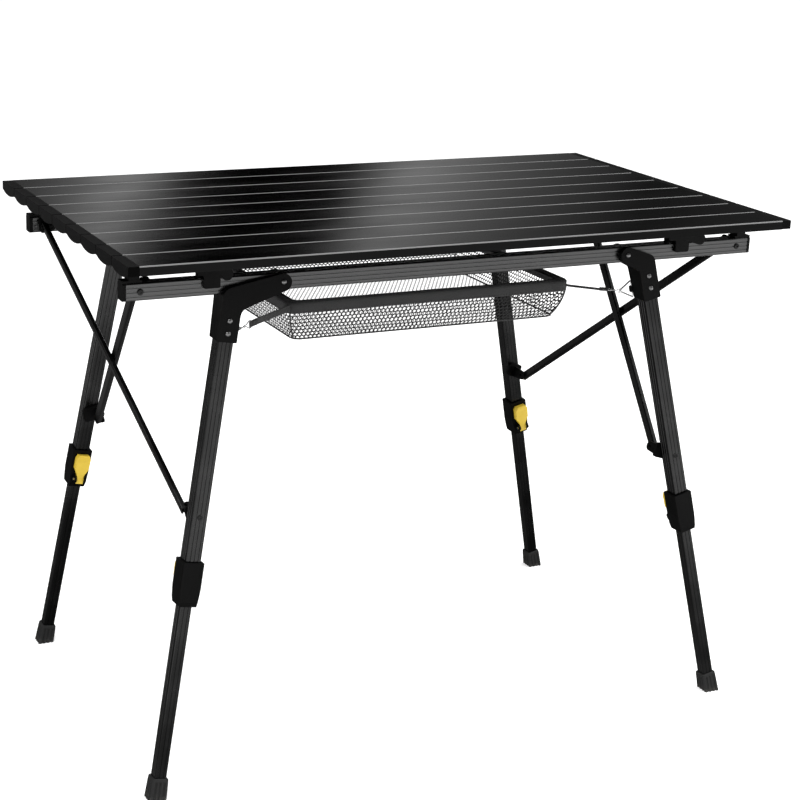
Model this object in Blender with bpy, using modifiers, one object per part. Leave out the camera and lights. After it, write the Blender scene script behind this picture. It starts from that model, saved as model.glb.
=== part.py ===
import bpy
import bmesh
from math import acos, atan2, cos, pi, radians, sin, sqrt, tan
from mathutils import Matrix, Vector

for item in list(bpy.data.objects):
    bpy.data.objects.remove(item, do_unlink=True)

# Folding camp table with a roll-up slat top, telescoping legs and a net basket.
# Metres, Z up, X along the length, Y to the back, origin on the floor under the middle.

# Clearances
seat = 0.0003
slide_gap = 0.0007
pin_gap = 0.0003

# Slat top
top_height = 0.6715
top_length = 0.900
slat_count = 9
slat_pitch = 0.0583
slat_joint_gap = 0.0008
slat_depth = 0.0115
slat_wall = 0.0013
slat_lip = 0.0075
slat_corner = 0.0012
slat_rib_depth = 0.0030
slat_cap_length = 0.0135
slat_cap_lobe = 0.0040
slat_cap_margin = 0.0035
slat_cap_inset = 0.0002
slat_cap_step = 0.0003
slat_cap_overlap = 0.0006

# Rails
top_stand = 0.0235
rail_height = 0.0208
rail_depth = 0.018
rail_wall = 0.0015
rail_end_inset = 0.0185
rail_stand_in = 0.00405
rail_groove_count = 3
rail_groove_width = 0.0018
rail_groove_depth = 0.0007
rail_cap_flange = 0.004
rail_cap_plug = 0.012
pad_near = 0.0035
pad_length = 0.013
pad_inset = 0.0012
pad_slot = 0.003
pad_slot_depth = 0.0035
pad_plate = 0.0026

# Top latches on the rails
left_latch_inset = 0.1025
right_latch_inset = 0.1070
latch_base_depth = 0.011
latch_base_margin = 0.003
latch_barrel_margin = 0.004
latch_arm_height = 0.0140
latch_tongue_width = 0.0205
left_latch_near = 0.0180
left_latch_far = 0.0260
right_latch_near = 0.0215
right_latch_far = 0.0355
latch_tongue_drop = 0.027
latch_thickness = 0.0040
latch_barrel = 0.0032
latch_axis_drop = 0.0080
latch_lobe = 0.0075

# Leg pivots and legs
pivot_x = 0.240
pivot_pin = 0.0032
boss_radius = 0.0105
leg_axis_out = 0.0041
leg_lean = 0.0733
left_arm = 0.0610
left_splay = radians(9.74)
left_sleeve_end = 0.0767
left_shoulder = 0.0157
left_crotch = 0.0377
left_crotch_fillet = 0.012
right_arm = 0.0255
right_splay = radians(12.95)
right_sleeve_end = 0.0667
right_shoulder = 0.0109
right_crotch = 0.0240
right_crotch_fillet = 0.006
shoulder_fillet = 0.012
sleeve_wall = 0.0023
cheek_inner = 0.0030
cheek_slope = 0.17
tube_top = 0.0245
upper_width = 0.020
upper_wall = 0.0015
upper_end = 0.381
upper_groove_count = 3
upper_groove_width = 0.0018
upper_groove_depth = 0.0006
lower_wall = 0.0013
lower_top = 0.318
lower_groove_count = 2
lower_groove_width = 0.0018
lower_groove_depth = 0.0006
tube_corner = 0.0016

# Lock collars and levers
collar_top = 0.345
collar_height = 0.055
collar_wall = 0.0032
collar_neck = 0.0026
collar_taper = 0.030
collar_corner = 0.0018
ear_station = 0.0410
ear_stand = 0.0055
ear_radius = 0.0050
ear_width = 0.0030
lever_neck = 0.0100
lever_width = 0.0200
lever_height = 0.0365
lever_thickness = 0.0080
lever_pin = 0.0016
lever_foot = 0.0062

# Feet
foot_height = 0.028
foot_width = 0.0215
foot_flare = 0.0016
foot_wall_floor = 0.008
foot_rib_count = 4
foot_rib_depth = 0.0009

# Cross braces
swivel_inset = 0.0169
swivel_stand = 0.0110
swivel_base = 0.0032
swivel_half = 0.0098
connector_station = 0.290
connector_reach = 0.027
connector_base = 0.0040
connector_half = 0.0100
strut_width = 0.0120
strut_thickness = 0.0070
strut_wall = 0.0012
strut_pin = 0.0020
tongue_thickness = 0.0040
tongue_radius = 0.0064
brace_head = 0.0036
brace_head_height = 0.0010

# Net basket
basket_x = -0.010
basket_half_length = 0.200
basket_half_width = 0.153
basket_rim_z = 0.585
basket_rim_width = 0.014
basket_rim_height = 0.010
basket_bottom_z = 0.535
basket_inset = 0.014
basket_wall = 0.0016
basket_corner = 0.012
strap_width = 0.008
strap_thickness = 0.0018
hook_wire = 0.0011
ring_height = 0.0235
ring_reach = 0.019
ring_inset = 0.0020
ring_stand = 0.0042
ring_bend = 0.0030
ring_eye_length = 0.008
ring_eye_wall = 0.0014
left_ring_station = 0.0765
right_ring_station = 0.0665

# Derived places
rail_half_length = top_length / 2 - rail_end_inset
frame_half_depth = (slat_count / 2 - 1) * slat_pitch - rail_stand_in
left_latch_x = left_latch_inset - rail_half_length
right_latch_x = rail_half_length - right_latch_inset
swivel_x = rail_half_length - swivel_inset
slat_underside = top_height - slat_depth
rail_top = slat_underside - top_stand
rail_mid = rail_top - rail_height / 2
rail_bottom = rail_top - rail_height
rail_inner_y = frame_half_depth - rail_depth
rail_mid_y = frame_half_depth - rail_depth / 2
leg_axis_y = rail_mid_y + leg_axis_out
lower_width = upper_width - 2 * upper_wall - 2 * slide_gap
collar_half = upper_width / 2 + seat + collar_wall
collar_end = collar_top + collar_height

# Materials
parts_collection = bpy.data.collections.new("folding_camp_table")
bpy.context.scene.collection.children.link(parts_collection)
guides_collection = bpy.data.collections.new("joint_points")
bpy.context.scene.collection.children.link(guides_collection)
work_collection = bpy.data.collections.new("cutters")
bpy.context.scene.collection.children.link(work_collection)


def principled(name, colour, roughness, metallic):
    material = bpy.data.materials.new(name)
    material.use_nodes = True
    shader = material.node_tree.nodes["Principled BSDF"]
    shader.inputs["Base Color"].default_value = (*colour, 1.0)
    shader.inputs["Roughness"].default_value = roughness
    shader.inputs["Metallic"].default_value = metallic
    material.diffuse_color = (*colour, 1.0)
    return material


slat_metal = principled("black_slat_aluminium", (0.012, 0.012, 0.014), 0.28, 0.9)
tube_metal = principled("black_tube_aluminium", (0.020, 0.020, 0.022), 0.38, 0.85)
black_plastic = principled("black_nylon", (0.008, 0.008, 0.009), 0.55, 0.0)
yellow_plastic = principled("yellow_plastic", (0.83, 0.60, 0.04), 0.45, 0.0)
grey_rubber = principled("grey_rubber", (0.045, 0.045, 0.047), 0.75, 0.0)
bright_wire = principled("bright_wire", (0.62, 0.63, 0.64), 0.28, 1.0)
net_cloth = principled("black_net", (0.020, 0.020, 0.021), 0.85, 0.0)


# Building blocks
def face_outwards(bm):
    bmesh.ops.recalc_face_normals(bm, faces=bm.faces)
    if bm.calc_volume(signed=True) < 0.0:
        bmesh.ops.reverse_faces(bm, faces=bm.faces)


def from_bmesh(bm, name):
    face_outwards(bm)
    mesh = bpy.data.meshes.new(name)
    bm.to_mesh(mesh)
    bm.free()
    piece = bpy.data.objects.new(name, mesh)
    work_collection.objects.link(piece)
    return piece


def evaluated_mesh(piece):
    graph = bpy.context.evaluated_depsgraph_get()
    return bpy.data.meshes.new_from_object(piece.evaluated_get(graph))


def extrusion(loops, low, high, frame=Matrix()):
    # A flat outline, with any holes, extruded from low to high along the frame's third axis
    outline = bpy.data.curves.new("outline", "CURVE")
    outline.dimensions = "2D"
    outline.fill_mode = "BOTH"
    outline.extrude = (high - low) / 2
    for loop in loops:
        spline = outline.splines.new("POLY")
        spline.points.add(len(loop) - 1)
        for point, (a, b) in zip(spline.points, loop):
            point.co = (a, b, 0.0, 1.0)
        spline.use_cyclic_u = True
    holder = bpy.data.objects.new("outline", outline)
    work_collection.objects.link(holder)
    mesh = evaluated_mesh(holder)
    bpy.data.objects.remove(holder, do_unlink=True)
    bm = bmesh.new()
    bm.from_mesh(mesh)
    bmesh.ops.remove_doubles(bm, verts=bm.verts, dist=0.000004)
    bmesh.ops.dissolve_limit(bm, angle_limit=0.0005, verts=bm.verts, edges=bm.edges)
    bm.transform(frame @ Matrix.Translation((0.0, 0.0, (low + high) / 2)))
    return from_bmesh(bm, "extrusion")


def block(low, high, frame=Matrix()):
    bm = bmesh.new()
    bmesh.ops.create_cube(bm, size=1.0)
    size = Vector(high) - Vector(low)
    middle = (Vector(high) + Vector(low)) / 2
    bm.transform(frame @ Matrix.Translation(middle) @ Matrix.Diagonal((*size, 1.0)))
    return from_bmesh(bm, "block")


def cylinder(start, end, radius, sides=20):
    start = Vector(start)
    end = Vector(end)
    axis = end - start
    bm = bmesh.new()
    bmesh.ops.create_cone(bm, cap_ends=True, segments=sides, radius1=radius, radius2=radius, depth=axis.length)
    turn = axis.to_track_quat("Z", "Y").to_matrix().to_4x4()
    bm.transform(Matrix.Translation((start + end) / 2) @ turn)
    return from_bmesh(bm, "cylinder")


def wire(points, radius, closed=False, resolution=1):
    path = bpy.data.curves.new("wire", "CURVE")
    path.dimensions = "3D"
    path.bevel_depth = radius
    path.bevel_resolution = resolution
    path.use_fill_caps = not closed
    spline = path.splines.new("POLY")
    spline.points.add(len(points) - 1)
    for point, place in zip(spline.points, points):
        point.co = (*place, 1.0)
    spline.use_cyclic_u = closed
    holder = bpy.data.objects.new("wire", path)
    work_collection.objects.link(holder)
    mesh = evaluated_mesh(holder)
    bpy.data.objects.remove(holder, do_unlink=True)
    bm = bmesh.new()
    bm.from_mesh(mesh)
    bmesh.ops.remove_doubles(bm, verts=bm.verts, dist=0.000004)
    return from_bmesh(bm, "wire")


def combine(target, others, operation):
    # Boolean with each other piece, applied, and the other pieces removed
    for other in others:
        other.display_type = "WIRE"
        other.hide_render = True
        modifier = target.modifiers.new("combine", "BOOLEAN")
        modifier.operation = operation
        modifier.solver = "EXACT"
        modifier.object = other
    mesh = evaluated_mesh(target)
    target.modifiers.clear()
    target.data = mesh
    for other in others:
        bpy.data.objects.remove(other, do_unlink=True)
    return target


def join(target, *others):
    return combine(target, others, "UNION")


def cut(target, *others):
    return combine(target, others, "DIFFERENCE")


def overlap(target, *others):
    return combine(target, others, "INTERSECT")


def soften(piece, width, segments=1, angle=35.0):
    modifier = piece.modifiers.new("soften", "BEVEL")
    modifier.width = width
    modifier.segments = segments
    modifier.limit_method = "ANGLE"
    modifier.angle_limit = radians(angle)
    modifier.use_clamp_overlap = True
    mesh = evaluated_mesh(piece)
    piece.modifiers.clear()
    piece.data = mesh
    return piece


def finish(piece, name, material, origin=(0.0, 0.0, 0.0), mirror=(1, 1), parent=None, smooth=32.0, frame=Matrix()):
    # Puts a piece made in the positive quarter into its own quarter, with its origin at its joint
    flip = Matrix.Diagonal((mirror[0], mirror[1], 1.0, 1.0))
    place = flip @ Vector(origin)
    bm = bmesh.new()
    bm.from_mesh(piece.data)
    bmesh.ops.remove_doubles(bm, verts=bm.verts, dist=0.000002)
    bm.transform(Matrix.Translation(-place) @ flip @ frame @ piece.matrix_world)
    face_outwards(bm)
    mesh = bpy.data.meshes.new(name)
    bm.to_mesh(mesh)
    bm.free()
    mesh.shade_smooth()
    mesh.set_sharp_from_angle(angle=radians(smooth))
    mesh.materials.append(material)
    made = bpy.data.objects.new(name, mesh)
    parts_collection.objects.link(made)
    bpy.data.objects.remove(piece, do_unlink=True)
    made.location = place
    if parent:
        made.parent = parent
        made.location = place - parent_place(parent)
    return made


def parent_place(parent):
    place = Vector(parent.location)
    while parent.parent:
        parent = parent.parent
        place += Vector(parent.location)
    return place


def joint_point(name, place, parent=None):
    point = bpy.data.objects.new(name, None)
    point.empty_display_size = 0.02
    guides_collection.objects.link(point)
    point.location = Vector(place)
    if parent:
        point.parent = parent
        point.location = Vector(place) - parent_place(parent)
    return point


# Outlines
def arc(centre, radius, start, end, steps):
    points = []
    for index in range(steps + 1):
        angle = start + (end - start) * index / steps
        points.append((centre[0] + radius * cos(angle), centre[1] + radius * sin(angle)))
    return points


def circle(centre, radius, sides=16):
    return arc(centre, radius, 0.0, 2 * pi, sides)[:-1]


def filleted(corners, steps=4):
    # Corners are (a, b, radius); a corner with no radius stays sharp
    points = []
    count = len(corners)
    for index, (a, b, radius) in enumerate(corners):
        here = Vector((a, b))
        if radius <= 0.0:
            points.append((a, b))
            continue
        before = (Vector(corners[index - 1][:2]) - here).normalized()
        after = (Vector(corners[(index + 1) % count][:2]) - here).normalized()
        half = acos(max(-1.0, min(1.0, before.dot(after)))) / 2
        reach = radius / tan(half)
        centre = here + (before + after).normalized() * (radius / sin(half))
        first = here + before * reach - centre
        last = here + after * reach - centre
        start = atan2(first.y, first.x)
        sweep = (atan2(last.y, last.x) - start + pi) % (2 * pi) - pi
        points += arc(centre, radius, start, start + sweep, steps)
    return points


def rectangle(width, height, radius=0.0, steps=3):
    a = width / 2
    b = height / 2
    return filleted([(-a, -b, radius), (a, -b, radius), (a, b, radius), (-a, b, radius)], steps)


def grooved(width, height, radius, grooves_x, grooves_y, groove_width, groove_depth):
    # A rounded rectangle with evenly spread lengthwise grooves on its faces
    def face(length, count, turn, stand):
        points = []
        for index in range(count):
            middle = -length / 2 + length * (index + 1) / (count + 1)
            for along, down in ((-0.5, 0.0), (-0.3, 1.0), (0.3, 1.0), (0.5, 0.0)):
                a = middle + along * groove_width
                b = -(stand - down * groove_depth)
                points.append((a * cos(turn) - b * sin(turn), a * sin(turn) + b * cos(turn)))
        return points

    def corner(a, b, turn):
        centre = (a - radius * (1 if a > 0 else -1), b - radius * (1 if b > 0 else -1))
        return arc(centre, radius, turn - pi / 2, turn, 2)

    points = face(width, grooves_x, 0.0, height / 2)
    points += corner(width / 2, -height / 2, 0.0)
    points += face(height, grooves_y, pi / 2, width / 2)
    points += corner(width / 2, height / 2, pi / 2)
    points += face(width, grooves_x, pi, height / 2)
    points += corner(-width / 2, height / 2, pi)
    points += face(height, grooves_y, 3 * pi / 2, width / 2)
    points += corner(-width / 2, -height / 2, 3 * pi / 2)
    return points


def axes(origin, first, second, third):
    frame = Matrix.Identity(4)
    for column, axis in enumerate((first, second, third, origin)):
        for row in range(3):
            frame[row][column] = axis[row]
    return frame


# Outline in Y and Z, extruded along X; outline in X and Z, extruded along Y
along_x = axes((0, 0, 0), (0, 1, 0), (0, 0, 1), (1, 0, 0))
along_y = axes((0, 0, 0), (1, 0, 0), (0, 0, 1), (0, 1, 0))


# Slat top: nine open channels with moulded end caps, each turning on the one nearer the middle
slat_width = slat_pitch - slat_joint_gap
top_point = joint_point("top_lift_point", (0.0, 0.0, slat_underside))
middle_slat = (slat_count + 1) // 2


def slat_y(number):
    return (number - (slat_count + 1) / 2) * slat_pitch


def make_slat(number, hinge_y, parent):
    half = slat_width / 2
    wall = slat_wall
    low = slat_underside
    rib = half / 3
    foot = low + slat_depth - wall
    section = [
        (-half, low), (-half + slat_lip, low), (-half + slat_lip, low + wall), (-half + wall, low + wall),
        (-half + wall, foot), (-rib - wall / 2, foot), (-rib - wall / 2, foot - slat_rib_depth),
        (-rib + wall / 2, foot - slat_rib_depth), (-rib + wall / 2, foot), (rib - wall / 2, foot),
        (rib - wall / 2, foot - slat_rib_depth), (rib + wall / 2, foot - slat_rib_depth), (rib + wall / 2, foot),
        (half - wall, foot), (half - wall, low + wall), (half - slat_lip, low + wall), (half - slat_lip, low),
        (half, low),
    ]
    section += arc((half - slat_corner, top_height - slat_corner), slat_corner, 0.0, pi / 2, 2)
    section += arc((-half + slat_corner, top_height - slat_corner), slat_corner, pi / 2, pi, 2)
    ends = top_length / 2 - slat_cap_length
    slat = extrusion([section], -ends, ends, along_x)
    inset = slat_cap_inset
    lobe = []
    for index in range(1, 8):
        share = index / 8
        across = -half + slat_cap_margin + (slat_width - 2 * slat_cap_margin) * share
        lobe.append((across, low - slat_cap_lobe * sin(pi * share) ** 0.7))
    foot = low + inset
    step = foot - slat_cap_step
    cap = [(-half + inset, foot), (-half + slat_cap_margin, step)] + lobe + [(half - slat_cap_margin, step)]
    cap += [(half - inset, foot)]
    corner = top_height - slat_corner
    cap += arc((half - slat_corner, corner), slat_corner - inset, 0.0, pi / 2, 2)
    cap += arc((-half + slat_corner, corner), slat_corner - inset, pi / 2, pi, 2)
    for side in (-1, 1):
        near = side * (ends - slat_cap_overlap)
        far = side * top_length / 2
        slat = join(slat, extrusion([cap], min(near, far), max(near, far), along_x))
    slat.location = (0.0, slat_y(number), 0.0)
    bpy.context.view_layer.update()
    return finish(slat, "slat_%d" % number, slat_metal, (0.0, hinge_y, slat_underside), parent=parent)


def slat_chain():
    make_slat(middle_slat, 0.0, top_point)
    for step in (-1, 1):
        parent = top_point
        number = middle_slat + step
        while 1 <= number <= slat_count:
            hinge_y = slat_y(number) - step * slat_pitch / 2
            parent = joint_point("slat_%d_hinge" % number, (0.0, hinge_y, slat_underside), parent)
            make_slat(number, hinge_y, parent)
            number += step


# Rails: grooved hollow bars with pivot holes, each with two latch bases on top
def make_rail(name, sign, parent):
    outline = grooved(rail_depth, rail_height, tube_corner, 0, rail_groove_count, rail_groove_width,
                      rail_groove_depth)
    bore = rectangle(rail_depth - 2 * rail_wall, rail_height - 2 * rail_wall)
    rail = extrusion([outline, bore], -rail_half_length, rail_half_length, along_x)
    rail.data.transform(Matrix.Translation((0.0, rail_mid_y, rail_mid)))
    holes = []
    for side in (-1, 1):
        for across in (pivot_x,):
            start = (side * across, rail_inner_y - 0.004, rail_mid)
            end = (side * across, frame_half_depth + 0.004, rail_mid)
            holes.append(cylinder(start, end, pivot_pin + pin_gap))
    rail = cut(rail, *holes)
    for side in (-1, 1):
        rail = join(rail, latch_base(side))
    return finish(rail, name, tube_metal, (0.0, rail_mid_y, rail_mid), (1, sign), parent)


def latch_axis():
    return (frame_half_depth - 0.0004, slat_underside - latch_axis_drop)


def latch_middle(side):
    return left_latch_x if side < 0 else right_latch_x


def latch_ends(side, margin=0.0):
    # The latch's arms reach further on the side of larger X, where the lobe is
    near = left_latch_near if side < 0 else right_latch_near
    far = left_latch_far if side < 0 else right_latch_far
    return latch_middle(side) - near + margin, latch_middle(side) + far - 2 * margin


def latch_base(side):
    # A saddle on the rail whose outer face is hollowed for the latch's barrel
    axis_y, axis_z = latch_axis()
    near = axis_y - latch_base_depth
    top = slat_underside - seat
    low = rail_top - 0.0006
    hollow = latch_barrel + seat
    reach = sqrt(max(hollow ** 2 - 0.0012 ** 2, 0.0))
    face = axis_y - 0.0012
    turn = atan2(reach, -0.0012)
    outline = [(near, low), (face, low), (face, axis_z - reach)]
    outline += arc((axis_y, axis_z), hollow, 2 * pi - turn, turn, 8)[1:-1]
    outline += [(face, axis_z + reach), (face, top), (near, top)]
    low_x, high_x = latch_ends(side, latch_base_margin)
    return extrusion([outline], low_x, high_x, along_x)


def make_latch(name, side, sign, parent):
    # A turning arm over the rail's outer face, with a tongue in the middle and a round lobe at one end
    axis_y, axis_z = latch_axis()
    barrel = circle((axis_y, axis_z), latch_barrel, 16)
    middle = latch_middle(side)
    near, far = latch_ends(side)
    low_x, high_x = latch_ends(side, latch_base_margin + latch_barrel_margin)
    face = frame_half_depth + seat + 0.0002
    back = face + latch_thickness
    latch = extrusion([barrel], low_x, high_x, along_x)
    top = axis_z + latch_barrel - 0.0004
    low = top - latch_arm_height
    tongue_low = axis_z - latch_tongue_drop
    tongue = latch_tongue_width / 2
    lobe_x = far - latch_lobe
    lobe_z = low - 0.0005
    curve = arc((lobe_x, lobe_z), latch_lobe, -0.62 * pi, 0.40 * pi, 10)
    front = [(near, top, 0.0015), (near, low, 0.003), (middle - tongue, low, 0.002),
             (middle - tongue, tongue_low, 0.002), (middle + tongue, tongue_low, 0.002),
             (middle + tongue, low - latch_lobe * 0.3, 0.0), (*curve[0], 0.0)]
    outline = filleted(front, 2) + curve[1:] + [(lobe_x + latch_lobe * 0.1, top)]
    plate = extrusion([outline], face, back, along_y)
    web = block((low_x, axis_y, axis_z - 0.0020), (high_x, face + 0.001, axis_z + 0.0020))
    latch = join(latch, web, plate)
    return finish(latch, name, black_plastic, (middle, axis_y, axis_z), (1, sign), parent)


def make_rail_cap(name, side, sign, parent):
    # A flange and plug in the rail's end, with the raised pad that carries the slats
    bore_depth = rail_depth - 2 * rail_wall - 2 * seat
    bore_height = rail_height - 2 * rail_wall - 2 * seat
    start = rail_half_length + seat
    frame = Matrix.Translation((0.0, rail_mid_y, rail_mid)) @ along_x
    cap = extrusion([rectangle(rail_depth, rail_height, tube_corner)], start, start + rail_cap_flange, frame)
    plug = extrusion([rectangle(bore_depth, bore_height, 0.0008)], start - rail_cap_plug, start + 0.001, frame)
    near = rail_half_length - pad_near - pad_length
    plate = block((near - 0.003, rail_inner_y + pad_inset, rail_top + seat),
                  (start + rail_cap_flange, frame_half_depth - pad_inset, rail_top + seat + pad_plate))
    lip = block((start, rail_inner_y + pad_inset, rail_top - 0.003),
                (start + rail_cap_flange, frame_half_depth - pad_inset, rail_top + seat + pad_plate * 0.5))
    pad = block((near, rail_inner_y + pad_inset, rail_top + seat + pad_plate * 0.5),
                (near + pad_length, frame_half_depth - pad_inset, slat_underside - seat))
    middle = near + pad_length / 2
    slot = block((middle - pad_slot / 2, 0.0, slat_underside - seat - pad_slot_depth),
                 (middle + pad_slot / 2, 1.0, slat_underside + 0.01))
    cap = join(cap, plug, lip, plate, pad)
    cap = cut(cap, slot)
    cap = soften(cap, 0.0005)
    return finish(cap, name, black_plastic, (rail_half_length, rail_mid_y, rail_mid), (side, sign), parent)


# Legs: each side has its own splay and its own offset from the pivot, so that the folded legs pass
def leg_sizes(side):
    left = side < 0
    sizes = {
        "arm": left_arm if left else right_arm,
        "splay": left_splay if left else right_splay,
        "sleeve_end": left_sleeve_end if left else right_sleeve_end,
        "shoulder": left_shoulder if left else right_shoulder,
        "crotch": left_crotch if left else right_crotch,
        "crotch_fillet": left_crotch_fillet if left else right_crotch_fillet,
        "ring": left_ring_station if left else right_ring_station,
    }
    turn = sizes["splay"]
    arm = sizes["arm"]
    down = Vector((tan(turn), leg_lean, -1.0)).normalized()
    out = Vector((cos(turn), 0.0, sin(turn)))
    normal = (-down).cross(out)
    rise = arm * sin(turn)
    origin = Vector((pivot_x + arm * cos(turn), leg_axis_y - leg_lean * rise, rail_mid + rise))
    sizes["down"] = down
    sizes["out"] = out
    sizes["normal"] = normal
    sizes["origin"] = origin
    sizes["length"] = origin.z / -down.z
    sizes["frame"] = axes(origin, out, normal, -down)
    return sizes


def leg_point(sizes, station, out=0.0, normal=0.0):
    return sizes["origin"] + sizes["down"] * station + sizes["out"] * out + sizes["normal"] * normal


def tangent(point, centre, radius, side):
    # Where a line from the point touches the circle
    offset = Vector(point) - Vector(centre)
    reach = acos(radius / offset.length)
    angle = atan2(offset.y, offset.x) + side * reach
    return angle


def make_bracket(name, side, sign, parent):
    # The moulded bracket: a boss and two cheeks on the rail, running into a sleeve round the leg
    sizes = leg_sizes(side)
    turn = sizes["splay"]
    arm = sizes["arm"]
    half = upper_width / 2 + seat + sleeve_wall

    def corner(across, station):
        return (pivot_x + across * cos(turn) + station * sin(turn), rail_mid + across * sin(turn) - station * cos(turn))

    pivot = (pivot_x, rail_mid)
    shoulder = corner(arm + half, sizes["shoulder"])
    outer_end = corner(arm + half, sizes["sleeve_end"])
    inner_end = corner(arm - half, sizes["sleeve_end"])
    crotch = corner(arm - half, sizes["crotch"])
    top_angle = tangent(shoulder, pivot, boss_radius, 1)
    low_angle = tangent(crotch, pivot, boss_radius, -1)
    boss = arc(pivot, boss_radius, top_angle, low_angle + 2 * pi, 14)
    corners = [(*boss[0], 0.0), (*shoulder, shoulder_fillet), (*outer_end, 0.0015), (*inner_end, 0.0015),
               (*crotch, sizes["crotch_fillet"]), (*boss[-1], 0.0)]
    rounded = filleted(corners, 5)
    outline = rounded + boss[-2:0:-1]
    inner = rail_inner_y - seat - cheek_inner
    body = extrusion([outline], inner, frame_half_depth + 0.030, along_y)
    frame = sizes["frame"]
    outside = block((-0.2, half, -0.2), (0.2, half + 0.1, 0.1), frame)
    # The rail's channel, and the room that the rail takes as the leg folds
    channel = block((-0.1, rail_inner_y - seat, rail_bottom - seat), (1.0, frame_half_depth + seat, 1.0))
    swing = axes((pivot_x, 0.0, rail_mid), sizes["out"], (0, 1, 0), (-sin(turn), 0.0, cos(turn)))
    folded = block((-0.1, rail_inner_y - seat, -0.1), (rail_height / 2 + seat, frame_half_depth + seat, 0.1), swing)
    tube = block((-upper_width / 2 - seat, -upper_width / 2 - seat, -0.2),
                 (upper_width / 2 + seat, upper_width / 2 + seat, -tube_top + seat), frame)
    taper = axes((0.0, inner, rail_bottom - seat), (1, 0, 0), Vector((0, 1, cheek_slope)).normalized(),
                 Vector((0, -cheek_slope, 1)).normalized())
    inside = block((-0.1, -0.05, -0.2), (1.0, 0.0, 0.0), taper)
    body = cut(body, outside, inside, channel, folded, tube)
    pin = cylinder((pivot_x, rail_inner_y - seat - cheek_inner * 0.5, rail_mid),
                   (pivot_x, frame_half_depth + 0.003, rail_mid), pivot_pin)
    # The eye that the basket's wire ring hangs in
    eye_x = ring_inset - half
    eye_y = -(half + ring_stand)
    eye_z = -(sizes["ring"] - ring_height / 2)
    reach = hook_wire + seat + ring_eye_wall
    eye = block((eye_x - reach, eye_y - reach, eye_z - ring_eye_length / 2),
                (eye_x + reach, 0.001 - half, eye_z + ring_eye_length / 2), frame)
    body = join(body, pin, eye)
    top, low, tip = ring_points(side)
    body = cut(body, cylinder(top, low, hook_wire + seat, 12))
    return finish(body, name, black_plastic, (pivot_x, rail_mid_y, rail_mid), (side, sign), parent)


def make_upper_leg(name, side, sign, parent):
    sizes = leg_sizes(side)
    outline = grooved(upper_width, upper_width, tube_corner, upper_groove_count, upper_groove_count,
                      upper_groove_width, upper_groove_depth)
    bore = rectangle(upper_width - 2 * upper_wall, upper_width - 2 * upper_wall)
    tube = extrusion([outline, bore], -upper_end, -tube_top, sizes["frame"])
    return finish(tube, name, tube_metal, (pivot_x, rail_mid_y, rail_mid), (side, sign), parent)


def make_lower_leg(name, side, sign, parent):
    sizes = leg_sizes(side)
    end = sizes["length"] - foot_wall_floor
    outline = grooved(lower_width, lower_width, tube_corner, lower_groove_count, lower_groove_count,
                      lower_groove_width, lower_groove_depth)
    bore = rectangle(lower_width - 2 * lower_wall, lower_width - 2 * lower_wall)
    tube = extrusion([outline, bore], -end, -lower_top, sizes["frame"])
    return finish(tube, name, tube_metal, leg_point(sizes, collar_end), (side, sign), parent)


def make_foot(name, side, sign, parent):
    # A ribbed rubber cup, cut level where it stands on the floor
    sizes = leg_sizes(side)
    length = sizes["length"]
    top = -(length - foot_height)
    low = -(length + 0.012)
    half = foot_width / 2
    steps = [(half - foot_rib_depth * 0.4, top)]
    rib = (foot_height - 0.006) / foot_rib_count
    for index in range(foot_rib_count):
        start = top - 0.0035 - rib * index
        widen = foot_flare * (index + 0.5) / foot_rib_count
        steps += [(half + widen, start), (half + widen, start - rib * 0.62),
                  (half + widen - foot_rib_depth, start - rib * 0.70), (half + widen - foot_rib_depth, start - rib * 0.92)]
    steps.append((half + foot_flare, low))
    outline = steps + [(-a, b) for a, b in reversed(steps)]
    foot = overlap(extrusion([outline], -0.03, 0.03, along_y), extrusion([outline], -0.031, 0.031, along_x))
    room = lower_width / 2 + seat
    pocket = block((-room, -room, -(length - foot_wall_floor) - seat), (room, room, 0.0))
    floor = block((-1.0, -1.0, -0.1), (1.0, 1.0, 0.0), sizes["frame"].inverted())
    foot = cut(foot, pocket, floor)
    return finish(foot, name, grey_rubber, leg_point(sizes, collar_end), (side, sign), parent, frame=sizes["frame"])


def ear_place():
    return -(collar_half + ear_stand), -(collar_top + ear_station)


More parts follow.
